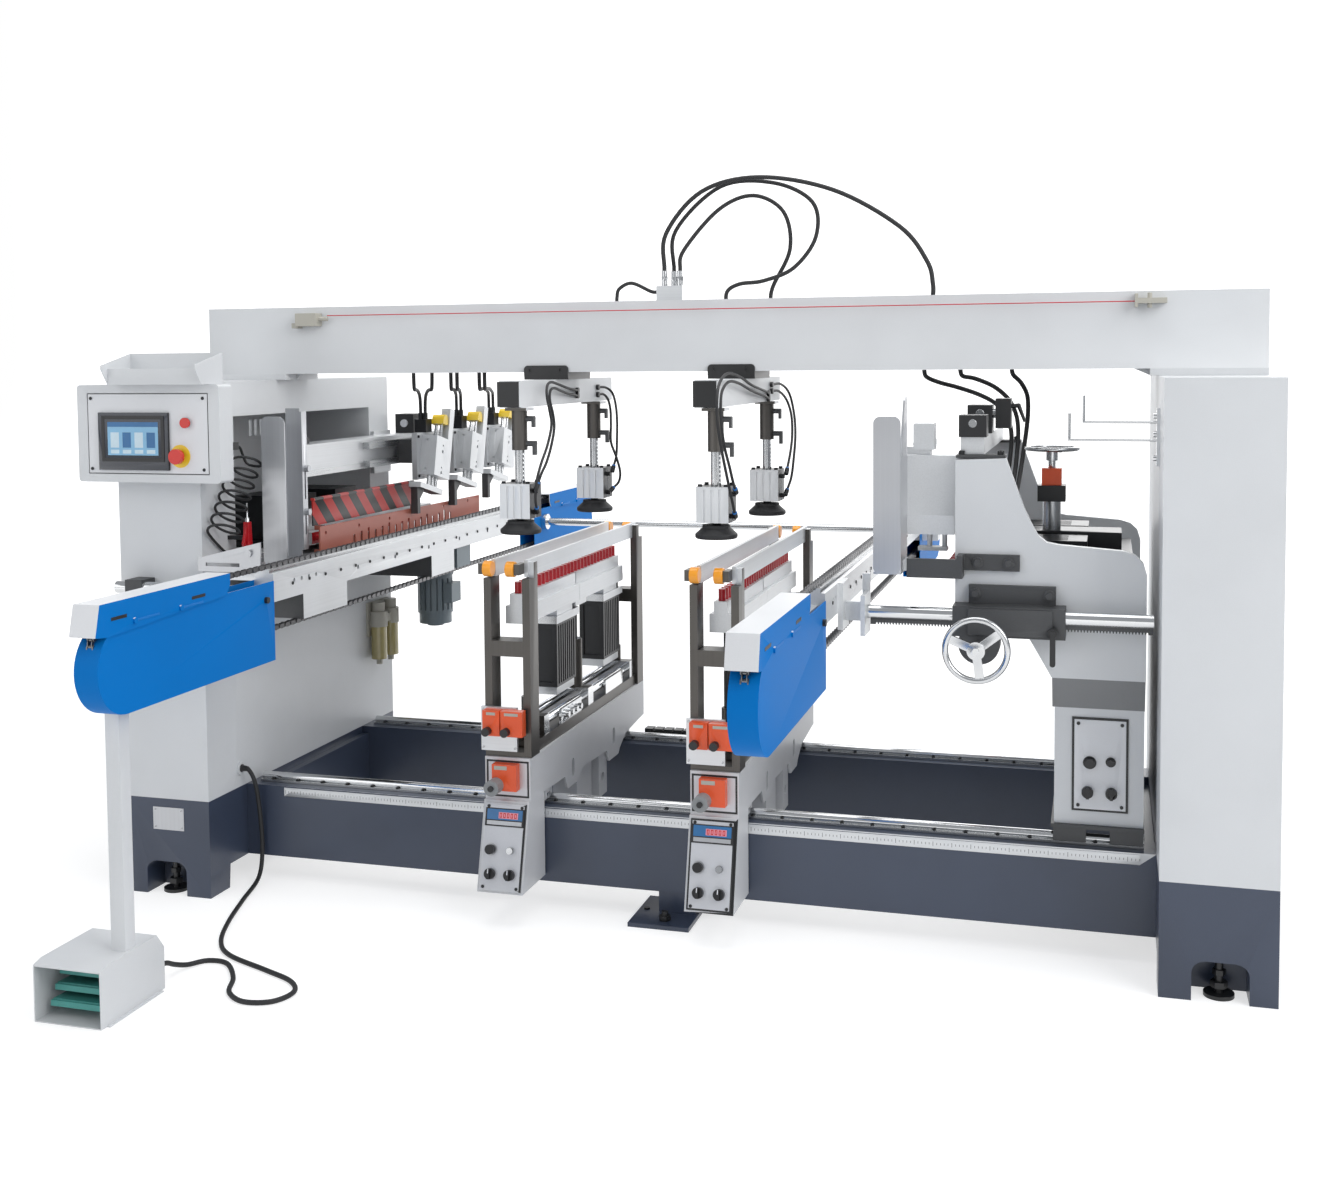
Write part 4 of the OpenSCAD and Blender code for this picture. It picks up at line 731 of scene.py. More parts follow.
    def place(
        self,
        body: str,
        slot: str,
        replaces: Sequence[str] = (),
        bevel: float = 0.0,
        smooth: float = 32.0,
        recalc: bool = True,
    ) -> bpy.types.Object:
        """Ends the shape and puts it on the machine.

        Args:
            body: The CAD body it rides on.
            slot: The record's material slot; not used.
            replaces: CAD nodes that it stands for.
            bevel: The width of its broken edges in millimetres.
            smooth: The angle in degrees from which an edge stays sharp.
            recalc: Whether its faces are turned outwards first.

        Returns:
            The finished piece.
        """
        if recalc:
            bmesh.ops.recalc_face_normals(self.bm, faces=self.bm.faces[:])
        piece = self.close(smooth)
        if bevel > 0.0:
            soften = piece.modifiers.new("broken_edges", "BEVEL")
            soften.width = bevel * MM
            soften.segments = 2
            soften.limit_method = "ANGLE"
            soften.angle_limit = math.radians(38.0)
            soften.harden_normals = False
        settle(piece, body, replaces)
        return piece


def settle(piece: bpy.types.Object, body: str, replaces: Sequence[str] = ()) -> None:
    """Tells the frame which body a piece rides on and what it stands for."""
    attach(piece, body)
    if replaces:
        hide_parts(*replaces)
    LOG.info("%s rides on %s", piece.name, body)


def smooth_route(points: Sequence[Point], steps: int) -> list[Vector]:
    """Runs a smooth curve through points.

    Args:
        points: The points it passes, in machine millimetres.
        steps: The number of steps between two of them.

    Returns:
        The points of the curve.
    """
    knots = [Vector(p) for p in points]
    padded = [knots[0] * 2 - knots[1], *knots, knots[-1] * 2 - knots[-2]]
    route = []
    for first, second, third, fourth in zip(padded, padded[1:], padded[2:], padded[3:]):
        for step in range(steps):
            t = step / steps
            bend = (
                second * 2
                + (third - first) * t
                + (first * 2 - second * 5 + third * 4 - fourth) * t * t
                + (second * 3 - first - third * 3 + fourth) * t * t * t
            )
            route.append(bend * 0.5)
    route.append(knots[-1])
    return route


class Ending(Enum):
    """What a cord goes into at its far end."""

    MACHINE = "object"
    GUN = "tool"


@dataclass(frozen=True)
class Cord:
    """One free cord or hose and the route it lies on."""

    name: str
    points: tuple[Point, ...]
    diameter: float
    ending: Ending = Ending.MACHINE
    stiffness: str = "medium"
    lay: str = "loose"
    steps: int = 8
    sides: int = 14
    replaces: tuple[str, ...] = ()
    body: str = "frame"
    toward: str = ""

    def build(self, shop: Paintshop, pieces: Sequence[object] = ()) -> bpy.types.Object:
        """Args:
            shop: Where its material comes from.
            pieces: The separate pieces on it; not used.

        Returns:
            The cord.
        """
        route = smooth_route(self.points, self.steps) if self.steps > 1 else [Vector(p) for p in self.points]
        shape = Shape(shop, self.name).wear(RUBBER).tube(route, self.diameter / 2, self.sides)
        path = [at(*p) for p in route]
        if self.toward:
            cord = shape.close(60.0)
            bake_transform(cord)
        else:
            cord = shape.place(self.body, "black_rubber", self.replaces, smooth=60.0)
        self.diameter * MM
        return cord


@dataclass
class Hoses:
    """The air hoses of the gantry, the pedal's cord and the coiled hose of the air gun."""

    coil_top: Point = (331.0, 165.0, 1290.0)
    coil_end: Point = (331.0, 22.0, 1078.0)
    coil_across: Point = (0.0, -0.829, 0.559)
    coil_radius: float = 44.0
    coil_steps: int = 81
    lead: tuple[Point, ...] = (
        (288, 172, 1329), (288, 182, 1329), (288, 199, 1320), (290, 208, 1300), (297, 210, 1281), (313, 206, 1269),
    )
    tail: tuple[Point, ...] = (
        (286, 60, 1048), (286, 100, 1020), (288, 128, 1004), (296, 141, 1000), (305, 142, 1000), (315, 142, 1000),
    )
    drops: tuple[Point, ...] = (
        (674, 441, 1142), (738, 459, 1142), (803, 441, 1457), (824, 459, 1457), (900, 441, 1772), (918, 459, 1772),
    )
    drop_bend: float = 52.0
    drop_sag: tuple[Span, ...] = ((0.05, 1486), (0.15, 1485), (0.4, 1483), (0.7, 1477), (1.0, 1464))
    drop_end: tuple[Span, ...] = ((60, 1453), (33, 1443), (18, 1434), (5, 1417), (0, 1396), (0, 1382))
    gantry: tuple[Cord, ...] = (
        Cord(
            "gantry_hose_peak",
            ((1534, 520, 1838), (1540, 520, 1950), (1650, 520, 2070), (1822, 520, 2105), (2040, 520, 2060),
             (2230, 520, 1950), (2308, 520, 1850), (2325, 520, 1785), (2325, 520, 1742)),
            13.0,
            stiffness="stiff",
            replaces=("gantry_hoses",),
        ),
        Cord(
            "gantry_hose_loop",
            ((1556, 548, 1838), (1562, 548, 1960), (1700, 548, 2085), (1860, 548, 2090), (1975, 548, 2030),
             (1985, 548, 1930), (1920, 548, 1842), (1830, 548, 1806), (1758, 548, 1798), (1720, 548, 1778),
             (1714, 548, 1742)),
            12.0,
            stiffness="stiff",
            replaces=("gantry_hoses",),
        ),
        Cord(
            "gantry_hose_inner",
            ((1578, 534, 1838), (1590, 534, 1900), (1690, 566, 2020), (1790, 590, 2060), (1880, 590, 2010),
             (1900, 590, 1900), (1848, 590, 1790), (1840, 590, 1742)),
            12.0,
            stiffness="stiff",
            replaces=("gantry_hoses",),
        ),
        Cord(
            "gantry_hose_side",
            ((1504, 560, 1780), (1480, 560, 1782), (1420, 560, 1808), (1380, 560, 1792), (1372, 560, 1766),
             (1372, 560, 1742)),
            11.0,
            stiffness="stiff",
            replaces=("gantry_hoses",),
        ),
    )
    pedal: Cord = Cord(
        "pedal_lead",
        ((262, 172, 347), (286, 172, 347), (306, 172, 344), (326, 176, 300), (334, 186, 200), (336, 190, 90),
         (345, 150, 20), (383, 0, 7), (440, -170, 7), (500, -300, 7), (575, -378, 7), (719, -441, 7), (818, -487, 7),
         (862, -545, 7), (840, -610, 7), (770, -630, 7), (705, -588, 7), (667, -508, 7), (600, -430, 7),
         (540, -425, 7), (508, -470, 10), (499, -512, 26), (498, -546, 43), (498, -570, 46), (498, -592, 46)),
        13.0,
        steps=6,
        replaces=("pedal_cord",),
    )

    def coil_points(self) -> tuple[Point, ...]:
        """Works out the coiled hose's points, the lead and tail included."""
        points = list(self.lead)
        top, across = Vector(self.coil_top), Vector(self.coil_across)
        axis = Vector(self.coil_end) - top
        for step in range(1, self.coil_steps + 1):
            angle = math.radians(30.0 * step - 90.0)
            round_it = AXES["x"] * math.cos(angle) + across * math.sin(angle)
            points.append(tuple(top + axis * (step / self.coil_steps) + round_it * self.coil_radius))
        return (*points, *self.tail)

    def drop_points(self, drop: Point) -> tuple[Point, ...]:
        """Works out a hose's points from the gantry's underside to a clamp unit."""
        start, goal = Vector((drop[0], 600.0)), Vector((drop[1], drop[2]))
        far = (goal - start).length
        way = (goal - start) / far
        turns = [math.radians(30.0 * step) for step in range(4)]
        run = [(0.0, 1562.0), (0.0, 1551.0)]
        run += [(self.drop_bend * (1.0 - math.cos(t)), 1540.0 - self.drop_bend * math.sin(t)) for t in turns]
        run += [(self.drop_bend + (0.8 * far - self.drop_bend) * share, z) for share, z in self.drop_sag]
        run += [(far - rest, z) for rest, z in self.drop_end]
        return tuple((*(start + way * s), z) for s, z in run)

    def build(self, shop: Paintshop, gun: bpy.types.Object) -> None:
        for cord in self.gantry:
            cord.build(shop)
        for index, drop in enumerate(self.drops):
            Cord(
                f"clamp_hose_{index + 1}", self.drop_points(drop), 12.0, stiffness="stiff", steps=4,
                sides=12, replaces=("gantry_hoses",),
            ).build(shop)
        sleeves = []
        for name, place, facing in (
            ("pedal_lead_sleeve_top", (278.0, 172.0, 347.0), (1.0, 0.0, -0.03)),
            ("pedal_lead_sleeve_low", (498.0, -595.0, 46.6), (0.0, 1.0, -0.05)),
        ):
            shape = Shape(shop, name).wear(PLASTIC)
            shape.lathe(facing, place, ((6.6, 0.0), (12.0, 0.0), (12.0, 7.0), (9.6, 9.0), (7.4, 26.0), (6.6, 26.5)), 24)
            sleeves.append(shape.place("frame", "black_rubber"))
        self.pedal.build(shop, sleeves)
        coil = Cord(
            "air_coil", self.coil_points(), 8.0, Ending.GUN, "medium", "coiled", steps=2, sides=10, replaces=("air_hose",)
        )
        coil.build(shop, [gun])


class Recipe:
    """Builds the Geometry Nodes tree of something that repeats."""

    def __init__(self, name: str, inputs: dict[str, float | int]) -> None:
        """Starts a tree.

        Args:
            name: The tree's name.
            inputs: Its named sizes and their default values.
        """
        self.tree = bpy.data.node_groups.new(name, "GeometryNodeTree")
        face = self.tree.interface
        face.new_socket("Geometry", in_out="INPUT", socket_type="NodeSocketGeometry")
        for key, value in inputs.items():
            kind = "NodeSocketInt" if isinstance(value, int) else "NodeSocketFloat"
            face.new_socket(key, in_out="INPUT", socket_type=kind).default_value = value
        face.new_socket("Material", in_out="INPUT", socket_type="NodeSocketMaterial")
        face.new_socket("Geometry", in_out="OUTPUT", socket_type="NodeSocketGeometry")
        self.source = self.tree.nodes.new("NodeGroupInput").outputs
        self.end = self.tree.nodes.new("NodeGroupOutput")

    def node(
        self, kind: str, settings: dict[str, object] | None = None, inputs: dict[object, object] | None = None
    ) -> bpy.types.Node:
        """Adds a node, its settings first and then its inputs."""
        made = self.tree.nodes.new(kind)
        for key, value in (settings or {}).items():
            setattr(made, key, value)
        for key, value in (inputs or {}).items():
            if isinstance(value, bpy.types.NodeSocket):
                self.tree.links.new(value, made.inputs[key])
            else:
                made.inputs[key].default_value = value
        return made

    def maths(self, operation: str, first: object, second: object = 0.0) -> bpy.types.NodeSocket:
        """Adds a Math node and returns its result."""
        return self.node("ShaderNodeMath", {"operation": operation}, {0: first, 1: second}).outputs[0]

    def vector(self, x: object, y: object, z: object) -> bpy.types.NodeSocket:
        """Joins three numbers to a vector."""
        return self.node("ShaderNodeCombineXYZ", None, {0: x, 1: y, 2: z}).outputs[0]

    def named(self, kind: str, name: str) -> bpy.types.NodeSocket:
        """Reads an attribute of the points."""
        return self.node("GeometryNodeInputNamedAttribute", {"data_type": kind}, {"Name": name}).outputs[0]

    def finish(self, geometry: bpy.types.NodeSocket) -> None:
        """Realizes the instances, sets the material and ends the tree."""
        real = self.node("GeometryNodeRealizeInstances", None, {0: geometry})
        dressed = self.node(
            "GeometryNodeSetMaterial", None, {"Geometry": real.outputs[0], "Material": self.source["Material"]}
        )
        self.tree.links.new(dressed.outputs[0], self.end.inputs[0])

    def apply(self, name: str, mesh: bpy.types.Mesh, inputs: dict[str, object], smooth: float = 32.0) -> bpy.types.Object:
        """Runs the tree on a mesh.

        Args:
            name: The name of the piece.
            mesh: What the tree starts from.
            inputs: Values of the tree's inputs by name.
            smooth: The angle in degrees from which an edge stays sharp.

        Returns:
            The piece as a plain mesh.
        """
        holder = bpy.data.objects.new(name + "_points", mesh)
        bpy.context.scene.collection.objects.link(holder)
        modifier = holder.modifiers.new("recipe", "NODES")
        modifier.node_group = self.tree
        for item in self.tree.interface.items_tree:
            if item.in_out == "INPUT" and item.name in inputs:
                modifier[item.identifier] = inputs[item.name]
        graph = bpy.context.evaluated_depsgraph_get()
        graph.update()
        plain = bpy.data.meshes.new_from_object(holder.evaluated_get(graph))
        plain.name = name
        holder.modifiers.clear()
        bpy.data.objects.remove(holder)
        plain.shade_smooth()
        plain.set_sharp_from_angle(angle=math.radians(smooth))
        piece = bpy.data.objects.new(name, plain)
        bpy.context.scene.collection.objects.link(piece)
        return piece


class Head(Enum):
    """The heads that the machine's screws have."""

    SOCKET = "socket"
    HEX = "hex"
    PAN = "pan"


@dataclass(frozen=True)
class Screw:
    """One screw head that stands on a surface."""

    place: Point
    facing: Point
    radius: float = 5.0
    height: float = 4.0


@dataclass
class ScrewBox:
    """Keeps the screws of each body and makes one piece of each kind."""

    shop: Paintshop
    kept: dict[tuple[str, Head, Finish], list[Screw]] = field(default_factory=dict)

    def add(self, body: str, screws: Iterable[Screw], head: Head = Head.SOCKET, finish: Finish = BLACK_SATIN) -> None:
        """Keeps some screws of a body until the end."""
        self.kept.setdefault((body, head, finish), []).extend(screws)

    @staticmethod
    def recipe(head: Head) -> Recipe:
        """Builds the tree that stands a head on each point."""
        tree = Recipe(f"{head.value}_screws", {"Socket share": 0.55, "Socket depth": 0.6})
        sides = {Head.SOCKET: 14, Head.HEX: 6, Head.PAN: 12}[head]
        body = tree.node("GeometryNodeMeshCylinder", None, {"Vertices": sides, "Radius": 1.0, "Depth": 1.0})
        shape, top = body.outputs["Mesh"], body.outputs["Top"]
        if head is not Head.HEX:
            ring = tree.node("GeometryNodeExtrudeMesh", {"mode": "FACES"}, {"Mesh": shape, "Selection": top, "Offset Scale": 0.0})
            share = tree.source["Socket share"]
            inner = tree.node(
                "GeometryNodeScaleElements", {"domain": "FACE"}, {0: ring.outputs[0], 1: ring.outputs["Top"], 2: share}
            )
            depth = tree.maths("MULTIPLY", tree.source["Socket depth"], -1.0)
            sunk = tree.node(
                "GeometryNodeExtrudeMesh",
                {"mode": "FACES"},
                {"Mesh": inner.outputs[0], "Selection": ring.outputs["Top"], "Offset Scale": depth},
            )
            shape = sunk.outputs[0]
        lifted = tree.node("GeometryNodeTransform", None, {"Geometry": shape, "Translation": (0.0, 0.0, 0.5)})
        facing = tree.named("FLOAT_VECTOR", "facing")
        turn = tree.node("FunctionNodeAlignRotationToVector", {"axis": "Z"}, {"Vector": facing})
        size = tree.named("FLOAT_VECTOR", "size")
        stood = tree.node(
            "GeometryNodeInstanceOnPoints",
            None,
            {"Points": tree.source["Geometry"], "Instance": lifted.outputs[0], "Rotation": turn.outputs[0], "Scale": size},
        )
        tree.finish(stood.outputs[0])
        return tree

    def place(self) -> None:
        """Makes every kept screw."""
        recipes: dict[Head, Recipe] = {}
        for (body, head, finish), screws in self.kept.items():
            if head not in recipes:
                recipes[head] = self.recipe(head)
            name = f"{body}_{head.value}_screws_{finish.name}"
            mesh = bpy.data.meshes.new(name + "_points")
            mesh.from_pydata([at(*s.place) for s in screws], [], [])
            facing = mesh.attributes.new("facing", "FLOAT_VECTOR", "POINT")
            facing.data.foreach_set("vector", [c for s in screws for c in s.facing])
            size = mesh.attributes.new("size", "FLOAT_VECTOR", "POINT")
            size.data.foreach_set("vector", [c * MM for s in screws for c in (s.radius, s.radius, s.height)])
            piece = recipes[head].apply(name, mesh, {"Material": self.shop.material(finish)})
            settle(piece, body)


@dataclass
class RollerChain:
    """A roller chain laid round two sprockets, made of links along its path."""

    pitch: float = 15.875
    plate_height: float = 13.5
    plate_gap: float = 11.0
    plate_thickness: float = 2.2
    roller: float = 4.6

    def recipe(self) -> Recipe:
        """Builds the tree that sets a link at each step of the path."""
        tree = Recipe(
            "chain_links",
            {"Pitch": 0.016, "Plate height": 0.0135, "Plate gap": 0.011, "Plate thickness": 0.0022, "Roller": 0.0046},
        )
        curve = tree.node("GeometryNodeMeshToCurve", None, {0: tree.source["Geometry"]})
        points = tree.node("GeometryNodeCurveToPoints", {"mode": "LENGTH"}, {"Curve": curve.outputs[0], "Length": tree.source["Pitch"]})
        turn = tree.node(
            "FunctionNodeAlignRotationToVector", {"axis": "Y", "pivot_axis": "X"}, {"Vector": points.outputs["Tangent"]}
        )
        odd = tree.maths("MODULO", tree.node("GeometryNodeInputIndex").outputs[0], 2.0)
        sides = []
        for sign in (-1.0, 1.0):
            plate = tree.node("GeometryNodeMeshCylinder", None, {"Vertices": 10, "Radius": 0.5, "Depth": 1.0})
            laid = tree.node(
                "GeometryNodeTransform", None, {"Geometry": plate.outputs[0], "Rotation": (0.0, math.pi / 2, 0.0)}
            )
            long = tree.maths("MULTIPLY", tree.source["Pitch"], 1.62)
            size = tree.vector(tree.source["Plate thickness"], long, tree.source["Plate height"])
            half = tree.maths("MULTIPLY", tree.source["Plate gap"], 0.5 * sign)
            sized = tree.node(
                "GeometryNodeTransform",
                None,
                {"Geometry": laid.outputs[0], "Scale": size, "Translation": tree.vector(half, 0.0, 0.0)},
            )
            sides.append(sized.outputs[0])
        pin = tree.node(
            "GeometryNodeMeshCylinder", None, {"Vertices": 8, "Radius": tree.source["Roller"], "Depth": tree.source["Plate gap"]}
        )
        half = tree.maths("MULTIPLY", tree.source["Pitch"], 0.5)
        pinned = tree.node(
            "GeometryNodeTransform",
            None,
            {
                "Geometry": pin.outputs[0],
                "Rotation": (0.0, math.pi / 2, 0.0),
                "Translation": tree.vector(0.0, half, 0.0),
            },
        )
        link = tree.node("GeometryNodeJoinGeometry")
        for part in (*sides, pinned.outputs[0]):
            tree.tree.links.new(part, link.inputs[0])
        wide = tree.maths("MULTIPLY_ADD", odd, 0.42)
        wide.node.inputs[2].default_value = 1.0
        stood = tree.node(
            "GeometryNodeInstanceOnPoints",
            None,
            {
                "Points": points.outputs[0],
                "Instance": link.outputs[0],
                "Rotation": turn.outputs[0],
                "Scale": tree.vector(wide, 1.0, 1.0),
            },
        )
        tree.finish(stood.outputs[0])
        return tree

    def place(self, shop: Paintshop, name: str, body: str, replaces: str, middle: float, ends: Span, level: float, radius: float) -> None:
        """Lays the chain round its two sprockets.

        Args:
            shop: Where its material comes from.
            name: The piece's name.
            body: The CAD body it rides on.
            replaces: The CAD node it stands for.
            middle: The x of its middle plane.
            ends: The y of the two sprockets' axes.
            level: The z of the axes.
            radius: The radius of its pitch line.
        """
        loop: list[Vector] = []
        for step in range(25):
            angle = math.pi / 2 + math.pi * step / 24
            loop.append(at(middle, ends[0] + radius * math.cos(angle), level + radius * math.sin(angle)))
        for step in range(25):
            angle = -math.pi / 2 + math.pi * step / 24
            loop.append(at(middle, ends[1] + radius * math.cos(angle), level + radius * math.sin(angle)))
        mesh = bpy.data.meshes.new(name + "_path")
        count = len(loop)
        mesh.from_pydata(loop, [(i, (i + 1) % count) for i in range(count)], [])
        around = sum((loop[(i + 1) % count] - loop[i]).length for i in range(count))
        links = 2 * round(around / (self.pitch * MM) / 2)
        piece = self.recipe().apply(
            name,
            mesh,
            {
                "Pitch": around / links,
                "Plate height": self.plate_height * MM,
                "Plate gap": self.plate_gap * MM,
                "Plate thickness": self.plate_thickness * MM,
                "Roller": self.roller * MM,
                "Material": shop.material(CHAIN),
            },
        )
        settle(piece, body, (replaces,))


@dataclass
class Assembly:
    """What every sub-assembly has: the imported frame, the finishes and the screws."""

    frame: dict
    shop: Paintshop
    screws: ScrewBox

    def shape(self, name: str) -> Shape:
        """Starts a new piece."""
        return Shape(self.shop, name)

    def dress(
        self,
        node: str,
        body: str,
        slot: str,
        finish: Finish,
        zones: Sequence[Zone] = (),
        cuts: Sequence[tuple[str, float]] = (),
        bevel: float = 1.0,
        extra: Callable[[Shape], object] | None = None,
    ) -> bpy.types.Object:
        """Makes the dressed piece that stands for a CAD node.

        Args:
            node: The CAD node.
            body: The CAD body that it rides on.
            slot: The record's material slot.
            finish: The finish of most of it.
            zones: Boxes in which it has other finishes, the last one on top.
            cuts: Planes along which its faces are split first.
            bevel: The width of its broken edges in millimetres.
            extra: Adds further forms to it.

        Returns:
            The dressed piece.
        """
        shape = self.shape(node + "_dressed").wear(finish).node(self.frame, node)
        for axis, level in cuts:
            shape.cut(axis, level)
        for zone in zones:
            shape.zone(zone)
        if extra is not None:
            extra(shape)
        return shape.place(body, slot, (node,), bevel, recalc=False)


def grid(start: Point, step: Point, count: int) -> list[Point]:
    """Lists points at a steady spacing."""
    return [tuple(s + d * i for s, d in zip(start, step)) for i in range(count)]


def screws_at(places: Iterable[Point], facing: Point, radius: float = 5.0, height: float = 4.0) -> list[Screw]:
    """Stands one kind of screw on each point."""
    return [Screw(tuple(p), facing, radius, height) for p in places]


FRONT: Point = (0.0, -1.0, 0.0)
REAR: Point = (0.0, 1.0, 0.0)
RIGHT: Point = (1.0, 0.0, 0.0)
LEFT: Point = (-1.0, 0.0, 0.0)
UP: Point = (0.0, 0.0, 1.0)


@dataclass
class Portal(Assembly):
    """The two pillars, the base beams between them and the gantry beam."""

    paint_line: float = 290.0
    pillar_left: Span = (0.0, 277.0)
    pillar_right: Span = (2933.0, 3210.0)
    pillar_depth: float = 1210.0
    gantry_front: float = 440.0

    def build(self) -> None:
        """Dresses the machine's frame."""
        line = (("z", self.paint_line),)
        low = Zone(NAVY, z=(-1.0, self.paint_line))
        self.dress("left_pillar", "frame", "light_grey_paint", LIGHT_GREY, (low,), line, 2.0, self.left_trim)
        hooks = Zone(CHROME, x=(2600.0, 2926.0), z=(1300.0, 1500.0))
        self.dress("right_pillar", "frame", "light_grey_paint", LIGHT_GREY, (low, hooks), line, 2.0)
        self.dress("gantry_beam", "frame", "light_grey_paint", LIGHT_GREY, bevel=2.0)
        scale = Zone(ALLOY_X, y=(204.0, 207.2), z=(259.0, 287.0))
        carrier = Zone(PLASTIC, x=(1280.0, 1740.0), y=(1070.5, 1120.0), z=(285.0, 320.0))
        tray = Zone(DARK_STEEL, x=(690.0, 2510.0), y=(1070.5, 1130.0), z=(200.0, 287.0))
        self.dress("base_frame", "frame", "navy_paint", NAVY, (tray, carrier, scale), bevel=1.5)
        supports = Zone(GROUND, z=(0.0, 298.0))
        self.dress("guide_rails", "frame", "ground_steel", CHROME, (supports,), bevel=0.4)
        self.dress("levelling_feet", "frame", "dark_steel", BLACK, bevel=0.8)
        self.fasten()
        self.ruler()

    def left_trim(self, shape: Shape) -> None:
        """Adds the bare plate."""
        shape.wear(SHEET).box((88.0, 192.0), (-1.2, 0.4), (196.0, 264.0))

    def fasten(self) -> None:
        """Puts the screws of the frame in."""
        plates = [(96.0, -1.2, 204.0), (184.0, -1.2, 204.0), (96.0, -1.2, 256.0), (184.0, -1.2, 256.0)]
        self.screws.add("frame", screws_at(plates, FRONT, 3.0, 1.4), Head.PAN, GROUND)
        rails = []
        for y in (246.0, 278.0, 1004.0, 1036.0):
            rails.extend(grid((345.0, y, 298.0), (84.0, 0.0, 0.0), 31))
        self.screws.add("frame", screws_at(rails, UP, 5.0, 4.0))
        feet = [(x, y, 8.0) for x in (1552.0, 1684.0) for y in (224.0, 1053.0)]
        self.screws.add("frame", screws_at(feet, UP, 9.0, 8.0), Head.HEX)

    def ruler(self) -> None:
        """Lays the scale's divisions along the front beam."""
        recipe = Recipe("ruler_marks", {"Count": 249, "Pitch": 0.01, "Long every": 5, "Mark": 0.0011, "Height": 0.006})
        row = recipe.node(
            "GeometryNodeMeshLine",
            {"mode": "OFFSET"},
            {"Count": recipe.source["Count"], "Offset": recipe.vector(recipe.source["Pitch"], 0.0, 0.0)},
        )
        mark = recipe.node(
            "GeometryNodeMeshGrid",
            None,
            {"Size X": recipe.source["Mark"], "Size Y": recipe.source["Height"], "Vertices X": 2, "Vertices Y": 2},
        )
        upright = recipe.node("GeometryNodeTransform", None, {"Geometry": mark.outputs[0], "Rotation": (math.pi / 2, 0.0, 0.0)})
        index = recipe.node("GeometryNodeInputIndex").outputs[0]
        rest = recipe.maths("MODULO", index, recipe.source["Long every"])
        tall = recipe.maths("ADD", recipe.maths("MULTIPLY", recipe.maths("LESS_THAN", rest, 0.5), 1.0), 1.0)
        stood = recipe.node(
            "GeometryNodeInstanceOnPoints",
            None,
            {"Points": row.outputs[0], "Instance": upright.outputs[0], "Scale": recipe.vector(1.0, 1.0, tall)},
        )
        moved = recipe.node(
            "GeometryNodeTransform", None, {"Geometry": stood.outputs[0], "Translation": at(412.0, 204.68, 273.0)}
        )
        recipe.finish(moved.outputs[0])
        piece = recipe.apply("ruler_marks", bpy.data.meshes.new("ruler_marks_start"), {"Material": self.shop.material(BLACK)})
        settle(piece, "frame")


@dataclass
class GantryFittings(Assembly):
    """The cord switch along the gantry and the hose block on top."""

    def build(self) -> None:
        """Dresses the fittings of the gantry."""
        wire = Zone(RED, x=(471.0, 2869.0), z=(1715.0, 1730.0))
        self.dress("cord_switch", "frame", "warm_grey_plastic", WARM_GREY, (wire,), bevel=0.8)
        fittings = Zone(CHROME, z=(1796.0, 1850.0))
        self.dress("hose_block", "frame", "warm_grey_plastic", ALLOY_X, (fittings,), bevel=0.8)


@dataclass
class ControlStation(Assembly):
    """The control cabinet with its plate, screen, buttons and tool shelf."""

    def build(self) -> None:
        """Dresses the control station."""
        self.dress("control_cabinet", "frame", "light_grey_paint", LIGHT_GREY, bevel=2.5)
        bezel = Zone(PLASTIC, x=(-9.0, 225.0), y=(-80.0, -67.6), z=(1270.0, 1438.0))
        glass = Zone(SCREEN, x=(13.0, 203.0), y=(-76.6, -75.0), z=(1305.0, 1419.0))
        self.dress("control_plate", "frame", "sheet_aluminium", WHITE, (bezel, glass), bevel=0.6, extra=self.screen)
        self.dress("tool_shelf", "frame", "light_grey_paint", LIGHT_GREY, bevel=0.6)
        self.dress("start_button", "start_button", "red_plastic", SIGNAL_RED, (Zone(CHROME, y=(-75.0, -40.0)),), bevel=1.2)
        self.dress("stop_button", "stop_button", "red_plastic", SIGNAL_RED, (Zone(GROUND, y=(-78.0, -40.0)),), bevel=1.5)
        self.screws.add(
            "frame", screws_at([(x, -70.4, z) for x in (-34.0, 337.0) for z in (1274.0, 1478.0)], FRONT, 5.0, 1.6), Head.PAN
        )

    def screen(self, shape: Shape) -> None:
        """Lays the lit page into the screen's recess, and the gasket round the plate."""
        shape.wear(PLASTIC)
        for x in ((-47.5, -44.5), (347.5, 350.5)):
            shape.box(x, (-66.4, -63.4), (1260.5, 1491.5))
        for z in ((1260.5, 1263.5), (1488.5, 1491.5)):
            shape.box((-47.5, 350.5), (-66.4, -63.4), z)
        shape.wear(PAGE).box((24.0, 192.0), (-76.5, -75.6), (1314.0, 1410.0))
        shape.wear(PAGE_BAR).box((24.0, 192.0), (-76.7, -76.4), (1396.0, 1410.0))
        for column in range(4):
            x = 34.0 + 40.0 * column
            shape.wear(PAGE_BAR if column % 2 else PAGE_LIGHT).box((x, x + 28.0), (-76.8, -76.4), (1336.0, 1380.0))
            shape.wear(PAGE_LIGHT).box((x, x + 28.0), (-76.8, -76.4), (1319.0, 1330.0))
        shape.wear(YELLOW).lathe(FRONT, (258.0, -67.0, 1312.0), ((14.0, 0.0), (33.0, 0.0), (33.0, 1.6), (14.0, 1.6)))


